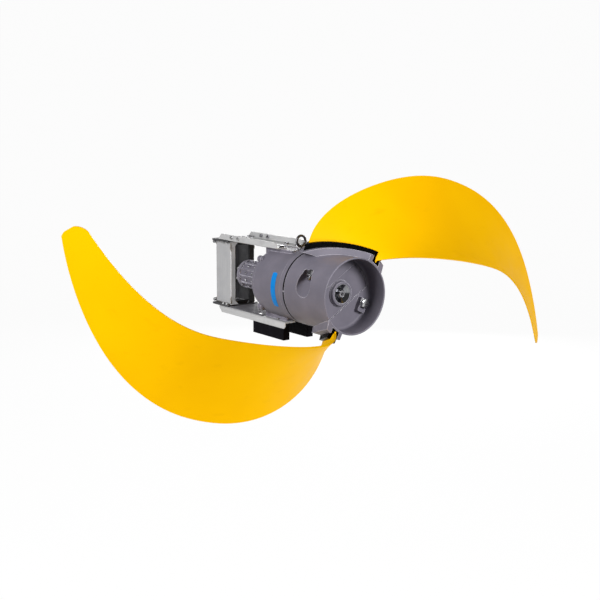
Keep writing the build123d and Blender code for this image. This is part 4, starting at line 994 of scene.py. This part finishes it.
@dataclass
class Drive(Assembly):
    """Motor housing, rear cover and what is fixed to them.

    Attributes:
        screw: screw of the rear cover.
        screw_angles: angles of the rear cover's screws.
        foot_pitch: radius of the circle of screws in the cover's foot.
        foot_level: Y of their seats.
        cap_pitch: radius of the circle of screws in the cap.
        cap_level: Y of their seats.
        lug_angles: angles of the lugs at the housing's rear.
        lug_pitch: from the axis to a lug's middle.
        lug_radius: radius of a lug.
        lug_edge: width of its rounded edge.
        lug_front: Y of a lug's front end.
        lug_rear: Y of its rear end, where its screw sits.
        boss_angles: angles of the bosses between the cover's ribs.
        boss_levels: Y of the bosses.
        boss_seat: radius of the barrel that the bosses stand on.
        boss: radius of a boss and height of its dome.
        seam_front: Y of the front of the black strip, a painted shadow, in the seam behind the hub.
        seam_rear: Y of the housing's front face.
        seam_radii: inner and outer radius of that strip.
        nub_pitch: from the axis to the nub beside the seam.
        label_angles: angle of the film's middle, and from there to its ends.
        label_band: from the hub's front to its middle, and half its width.
        taper: start of the housing's taper behind the hub's front, its length and its fall.
        housing_radius: radius of the housing at the taper's start.
    """

    screw: Hexagon = Hexagon(13.0, 7.0, 4.0, 12.0, 7.0, 1.2)
    screw_angles: Sequence[float] = tuple(15.0 + 45.0 * i for i in range(8))
    foot_pitch: float = 75.0
    foot_level: float = -319.0
    cap_pitch: float = 57.0
    cap_level: float = -111.0
    lug_angles: tuple[float, ...] = (45.0, 135.0, 225.0, 315.0)
    lug_pitch: float = 146.0
    lug_radius: float = 15.0
    lug_edge: float = 3.0
    lug_front: float = -384.0
    lug_rear: float = -352.0
    boss_angles: Sequence[float] = tuple(15.0 + 30.0 * i for i in range(12))
    boss_levels: tuple[float, ...] = (-275.0, -228.0, -181.0)
    boss_seat: float = 59.0
    boss: tuple[float, float] = (8.0, 5.0)
    seam_front: float = -603.2
    seam_rear: float = -596.0
    seam_radii: tuple[float, float] = (112.0, 157.8)
    nub_pitch: float = 153.5
    label_angles: tuple[float, float] = (182.5, 28.5)
    label_band: tuple[float, float] = (357.0, 16.0)
    taper: tuple[float, float, float] = (312.0, 192.0, 4.0)
    housing_radius: float = 153.0

    def fit_screws(self) -> None:
        """Makes the screws in the rear cover's foot and cap, whose heads face the guide bar."""
        foot = round_spots(self.foot_pitch, self.screw_angles, self.foot_level)
        cap = round_spots(self.cap_pitch, self.screw_angles, self.cap_level)
        stand = Stand(np.concatenate([foot, cap]))
        piece = stand.piece("cover_screw_heads", self.screw.form(), Finishes.fastener, FRAME_SCREWS)
        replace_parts(piece, "cover_screws")

    def cast_lugs(self) -> None:
        """Makes the four round lugs at the housing's rear edge, each with its screw.

        A lug is a profile of radius and height that is turned about its own axis.
        """
        long, radius, edge = self.lug_rear - self.lug_front, self.lug_radius, self.lug_edge
        rows = [(0, long), (radius - edge, long), (radius - edge / 3, long - edge / 3), (radius, long - edge)]
        rows += [(radius, 5), (radius - 6, 0), (0, 0)]
        stand = Stand(round_spots(self.lug_pitch, self.lug_angles, self.lug_front))
        stand.piece("housing_lugs", turned(rows), Finishes.housing, CASTING)
        stand = Stand(round_spots(self.lug_pitch, self.lug_angles, self.lug_rear))
        stand.piece("lug_screws", self.screw.form(), Finishes.fastener, FRAME_SCREWS)

    def cast_bosses(self) -> None:
        """Makes the low domed bosses between the rear cover's ribs, each with a small screw.

        A boss is a quarter ellipse turned about its axis: its radius times the cosine and its height
        times the sine of one angle. The screw is a turned profile.
        """
        outward = round_spots(1.0, self.boss_angles, 0.0)
        levels = np.array([[0.0, y, 0.0] for y in self.boss_levels])
        seats = (outward[:, None] * self.boss_seat + levels[None]).reshape(-1, 3)
        axes = np.repeat(outward, len(self.boss_levels), axis=0)
        stand = Stand(seats, axes, firsts=(0, 1, 0))
        radius, height = self.boss
        rise = np.linspace(math.pi / 2, 0, 6)
        dome = [(radius * math.cos(r), height * math.sin(r)) for r in rise]
        stand.piece("cover_bosses", turned(dome + [(0, 0)], 16), Finishes.housing, CASTING)
        head = [(0, 7.5), (2.6, 7.5), (3.6, 6.6), (3.8, 4.0), (0, 4.0)]
        stand.piece("cover_boss_screws", turned(head, 12), Finishes.fastener, FRAME_SCREWS)

    def seal_seam(self) -> None:
        """Makes the black strip that paints the shadow in the seam behind the hub, and the nub cast beside
        it.

        The strip is a profile turned about the drive's axis, and the nub one about its own.
        """
        deep = self.seam_rear - self.seam_front
        (inner, outer), edge, sunk, lip = self.seam_radii, 1.4, -1.5, 1.8
        rows = [(inner, 0), (inner, deep), (outer - edge, deep), (outer, deep - edge)]
        rows += [(outer, sunk), (outer - lip, sunk)]
        # The strip is painted shadow: black that darkens the gap between hub and housing
        points = Stand(np.array([[0, self.seam_rear, 0]]), (0, -1, 0)).spin(*turned(rows, 128))
        home = ("drive_frame", "boot_rubber")
        surface("seam_shadow_strip", points, Finishes.shadow, home, closed=(True, True))
        rows = [(0, 7.4), (3.4, 7.4), (5.2, 6.0), (5.6, 0), (0, 0)]
        stand = Stand(round_spots(self.nub_pitch, (180.0,), self.seam_rear), (0, -1, 0))
        stand.piece("seam_nub", turned(rows, 16), Finishes.housing, CASTING)

    def stick_label(self) -> None:
        """Makes the blank blue film on the housing's near side.

        Its section is a flat strip 1.2 mm thick that follows the housing's taper, its place the angle
        round the axis, and its half width is that of a rounded end, by the twelfth power of the place.
        """
        share = np.linspace(-1, 1, 61)
        (middle, reach), (depth, half) = self.label_angles, self.label_band
        turn = np.radians(middle + reach * share)
        half = half * (1 - np.abs(share) ** 12) ** (1 / 12)
        across = np.array([-1.0, -1.0, -0.5, 0.0, 0.5, 1.0, 1.0])[:, None] * half[None]
        lift = np.array([0.0, 1.0, 1.2, 1.2, 1.2, 1.0, 0.0])[:, None]
        depth = depth + across
        start, length, fall = self.taper
        radius = self.housing_radius - fall * (depth - start) / length + lift
        points = np.stack([radius * np.cos(turn), depth + HUB_FRONT, radius * np.sin(turn)], axis=-1)
        home = ("drive_frame", "label_film")
        piece = surface("label_film", points[None], Finishes.label, home, closed=(True, False))
        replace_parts(piece, "label_band")

    def build(self) -> None:
        """Dresses the nodes and adds the small pieces."""
        self.dress("motor_housing rear_cover rear_cap", Finishes.housing)
        self.dress("oil_plugs", Finishes.fastener)
        self.dress("cable_gland", Finishes.gland)
        self.dress("lifting_eye", Finishes.eye)
        self.fit_screws()
        self.cast_lugs()
        self.cast_bosses()
        self.seal_seam()
        self.stick_label()


@dataclass
class Suspension(Assembly):
    """Claw, bars, feet and their fasteners.

    Attributes:
        pad_bolt: bolt of the housing's pads.
        claw_bolt: bolt of the claw's end plates.
        claw_nut: its nut.
        leg_bolt: bolt through a top bar's upright leg.
        leg_nut: its nut.
        top_seat: Z of the upper heads' seats.
        bottom_seat: Z of the lower heads' seats.
        pad_reach: X of the pads' bolts.
        claw_reach: X of the claw's bolts.
        bar_sheet: thickness of the bars.
        leg_reach: X of the top bars' outer faces.
        leg_level: Z of the legs' bolts.
        upper_pad: Y of the upper pad's bolts.
        lower_pad: Y of the lower pad's bolts.
        plate: Y of the claw's bolts.
        leg: Y of the legs' bolts.
        half: half width of the claw.
        claw_top: Z of the channels' upper ends.
        claw_bottom: Z of their lower ends.
        gusset: length of a gusset's sides.
        flange: width of a channel's flange.
        gap: from the black strip to the flange's edge.
        strip: how far the black strip stands in front of the channel's face, and behind it.
        lip_half: half the lips' length, width and height.
        lip_front: Y of the lips' middle.
        mat_ends: Y of the mat's front and rear edge.
        mat: half its width, and its thickness.
        rib: height of its ribs, and from one rib to the next.
        rod: from a channel's end to the middle of its cross rod, and half the rod's height.
        bead: from a joint to the middle of its weld bead.
    """

    pad_bolt: Hexagon = Hexagon(19.0, 8.0, 6.0, 20.0, 11.5, 1.6)
    claw_bolt: Hexagon = Hexagon(13.0, 5.5, 4.0, 18.5, 8.0, 1.2)
    claw_nut: Hexagon = Hexagon(13.0, 5.5, 4.0, 1.0, 8.0, 1.2)
    leg_bolt: Hexagon = Hexagon(13.0, 6.5, 4.0, 5.0, 8.5, 1.2)
    leg_nut: Hexagon = Hexagon(13.0, 7.5, 4.0, 5.0, 8.5, 1.2, stud=4.5, thread=0.6)
    top_seat: float = 157.0
    bottom_seat: float = -159.0
    pad_reach: float = 43.0
    claw_reach: float = 71.3
    bar_sheet: float = 5.0
    leg_reach: float = 85.0
    leg_level: float = 168.5
    upper_pad: tuple[float, float] = (-430.0, -350.0)
    lower_pad: tuple[float, float] = (-474.0, -350.0)
    plate: tuple[float, float] = (-42.0, -12.0)
    leg: tuple[float, float] = (-104.0, -158.0)
    half: float = 62.6
    claw_top: float = 144.0
    claw_bottom: float = -146.0
    gusset: float = 39.0
    flange: float = 24.0
    gap: float = 1.2
    strip: tuple[float, float] = (5.8, 7.0)
    lip_half: tuple[float, float, float] = (39.0, 5.5, 8.0)
    lip_front: float = -60.0
    mat_ends: tuple[float, float] = (-330.0, -72.0)
    mat: tuple[float, float] = (78.0, 3.0)
    rib: tuple[float, float] = (0.6, 14.0)
    rod: tuple[float, float] = (8.5, 8.0)
    bead: float = 1.2

    def fit(
        self, name: str, replaced: str, shape: Hexagon, finish: Finish, seats: Sequence[np.ndarray]
    ) -> None:
        """Makes upright bolts or nuts in place of a CAD node.

        Args:
            name: name of the piece.
            replaced: the CAD node.
            shape: the bolt or nut.
            finish: its finish.
            seats: (items, 3) seats of those that point up, then of those that point down.
        """
        axes = np.repeat([[0, 0, 1.0], [0, 0, -1.0]], len(seats[0]), axis=0)
        stand = Stand(np.concatenate(seats), axes, (0, 1, 0))
        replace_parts(stand.piece(name, shape.form(), finish, FRAME_SCREWS), replaced)

    def fit_bolts(self) -> None:
        """Makes the bolts of the pads and the claw, their nuts, and the bolts in the top bars' legs."""
        top, bottom, reach = self.top_seat, self.bottom_seat, self.pad_reach
        seats = (row_spots(reach, self.upper_pad, top), row_spots(reach, self.lower_pad, bottom))
        self.fit("pad_bolt_heads", "pad_bolts", self.pad_bolt, Finishes.clamp, seats)
        seats = [row_spots(self.claw_reach, self.plate, level) for level in (top, bottom)]
        self.fit("claw_bolt_heads", "claw_bolts", self.claw_bolt, Finishes.clamp, seats)
        # The nuts sit inside the claw: the lower ones point up and the upper ones down
        ends = (self.claw_bottom, self.claw_top)
        seats = [row_spots(self.claw_reach, self.plate, level) for level in ends]
        self.fit("claw_nut_heads", "claw_nuts", self.claw_nut, Finishes.fastener, seats)
        seats = row_spots(self.leg_reach, self.leg, self.leg_level)
        stand = Stand(seats, seats * [1, 0, 0], (0, 0, 1))
        stand.piece("leg_bolt_heads", self.leg_bolt.form(), Finishes.fastener, FRAME_SCREWS)
        seats = row_spots(self.leg_reach - self.bar_sheet, self.leg, self.leg_level)
        stand = Stand(seats, seats * [-1, 0, 0], (0, 0, 1))
        stand.piece("leg_nuts", self.leg_nut.form(), Finishes.clamp, FRAME_SCREWS)

    def lay_strips(self) -> None:
        """Makes the black strip on the right channel's front, widened over its gussets: painted shade on that
        flange and the gussets.

        Its inner edge lies at the flange's edge, or further in by as much as the height is nearer to
        the strip's end than the gusset's diagonal.
        """
        level = np.linspace(self.claw_bottom, self.claw_top, 59)
        level = np.concatenate([level[:1], level, level[-1:]])
        near_end = np.minimum(self.claw_top - level, level - self.claw_bottom)
        inner = np.minimum(self.half - self.flange - self.gap, self.half - self.gusset + near_end)
        outer = np.full(level.size, self.half)
        front, rear = -self.half - self.strip[0], -self.half + self.strip[1]
        x = np.stack([inner, inner + 1, outer - 1, outer, outer, inner])
        y = np.array([front + 1, front, front, front + 1, rear, rear])[:, None] * np.ones(level.size)
        closing = np.zeros(level.size, bool)
        closing[[0, -1]] = True
        x = np.where(closing, x.mean(axis=0), x)
        y = np.where(closing, (front + rear) / 2, y)
        points = np.stack([x, y, level * np.ones((6, 1))], axis=-1)
        surface("flange_shade_strip", points[None], Finishes.strip, GUIDE, closed=(True, False))

    def fit_lips(self) -> None:
        """Makes the black lips that bridge the channels' front flanges above and below the bar: painted shade
        that closes the gaps through the claw.

        Each is a bar with a rounded section: half its width and depth times the fourth root of the
        cosine and sine of the angle round it, closed by drawing the end sections together.
        """
        turn = np.linspace(0, 2 * math.pi, 24, endpoint=False)[:, None]
        long, deep, high = self.lip_half
        size = np.array([0.0, 1.0, 1.0, 0.0])
        across, up = (np.sign(f(turn)) * np.abs(f(turn)) ** 0.25 * size for f in (np.cos, np.sin))
        x = np.array([-long, -long, long, long]) * np.ones((turn.size, 1))
        y = self.lip_front + deep * across
        middles = (self.claw_bottom + high, self.claw_top - high)
        lips = np.array([np.stack([x, y, middle + high * up], axis=-1) for middle in middles])
        surface("gap_shade_lips", lips, Finishes.strip, GUIDE, closed=(True, False))

    def lay_mat(self) -> None:
        """Makes the grey mat that lies between the bottom bars, ribbed across, its dark grey partly painted
        shade.

        Its height is a flat sheet plus a low sine of the place along it. Its end sections are drawn flat.
        """
        (half, sheet), (height, pitch) = self.mat, self.rib
        along = np.linspace(*self.mat_ends, 121)
        along = np.concatenate([along[:1], along, along[-1:]])
        size = np.ones(along.size)
        size[[0, -1]] = 0.0
        ribs = height * np.sin(along * 2 * math.pi / pitch)
        across = np.array([-half, 2 - half, -25, 25, half - 2, half, half, -half])
        across = across[:, None] * np.ones(along.size)
        top = np.array([0.5, 1.0, 1.0, 1.0, 1.0, 0.5])[:, None] * (sheet + ribs)
        level = np.concatenate([top, np.zeros((2, along.size))]) * size
        level += self.bottom_seat + self.bar_sheet
        points = np.stack([across, along * np.ones((8, 1)), level], axis=-1)
        home = ("drive_frame", "foot_rubber")
        surface("bar_mat", points[None], Finishes.mat, home, closed=(True, False))

    def weld(self) -> None:
        """Lays the weld beads of the claw: channels to end plates, gussets and cross rods."""
        lines = []
        long, front, rear, start = 56.0, -65.0, self.half + 1.0, 4.0
        inner, outer = 40.0, 61.0
        for side in (-1, 1):
            out = side * (self.half + self.bead)
            for level, inward in ((self.claw_top, -1), (self.claw_bottom, 1)):
                z = level + inward * self.bead
                lines.append(((out, -long, z), (out, long, z)))
                near, far = level + inward * start, level + inward * self.gusset
                lines.append(((out, front, near), (out, front, far)))
                rod = level + inward * self.rod[0]
                for edge in (rod - self.rod[1], rod + self.rod[1]):
                    lines.append(((side * inner, rear, edge), (side * outer, rear, edge)))
        ends = np.array(lines, float)
        points = weld_beads(ends[:, 0], ends[:, 1])
        surface("claw_welds", points, Finishes.weld, ("drive_frame", "stainless_sheet"))

    def build(self) -> None:
        """Dresses the nodes, then adds bolts, strips and welds."""
        self.dress("claw_channel_left claw_channel_right claw_gussets", Finishes.claw)
        # The end plates' dark grey is painted shade: the shadow line between the channels and the bars
        self.dress("claw_end_plate_top claw_end_plate_bottom", Finishes.plate)
        self.dress("guide_liner_left guide_liner_right", Finishes.liner)
        self.dress("cross_rods", Finishes.rod)
        self.dress("top_bar_left top_bar_right bottom_bar_left bottom_bar_right", Finishes.bars)
        self.dress("foot_screws", Finishes.fastener)
        self.dress("rubber_foot_left rubber_foot_right", Finishes.foot)
        self.fit_bolts()
        self.lay_strips()
        self.fit_lips()
        self.lay_mat()
        self.weld()


@dataclass
class GearTrain(Assembly):
    """Everything inside the housings, from the motor to the output shaft."""

    def build(self) -> None:
        """Dresses the pieces."""
        self.dress("output_shaft shaft_key output_planet_pins input_planet_pins", Finishes.machined)
        self.dress("input_carrier rotor_shaft ring_gear", Finishes.machined)
        for stage in ("output", "input"):
            self.dress(" ".join(f"{stage}_planet_{i}" for i in (1, 2, 3)), Finishes.machined)
        self.dress("main_bearing_inner_rings main_bearing_outer_rings", Finishes.bearing)
        self.dress("rotor_bearing_inner_rings rotor_bearing_outer_rings", Finishes.bearing)
        self.dress("seal_ring seal_seat", Finishes.carbide)
        self.dress("gear_housing bearing_shield", Finishes.iron)
        self.dress("rotor_core stator_core", Finishes.laminations)
        self.dress("stator_windings", Finishes.winding)
        self.dress("gear_housing_screws", Finishes.fastener)


def main() -> None:
    """Loads the frame, builds the sub-assemblies in order and sets up the studio."""
    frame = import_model()
    nodes = frame["nodes"]
    for assembly in (Propeller(nodes), Drive(nodes), Suspension(nodes), GearTrain(nodes)):
        assembly.build()
        LOG.info("%s done", type(assembly).__name__)
    Studio().build()


if __name__ == "__main__":
    main()
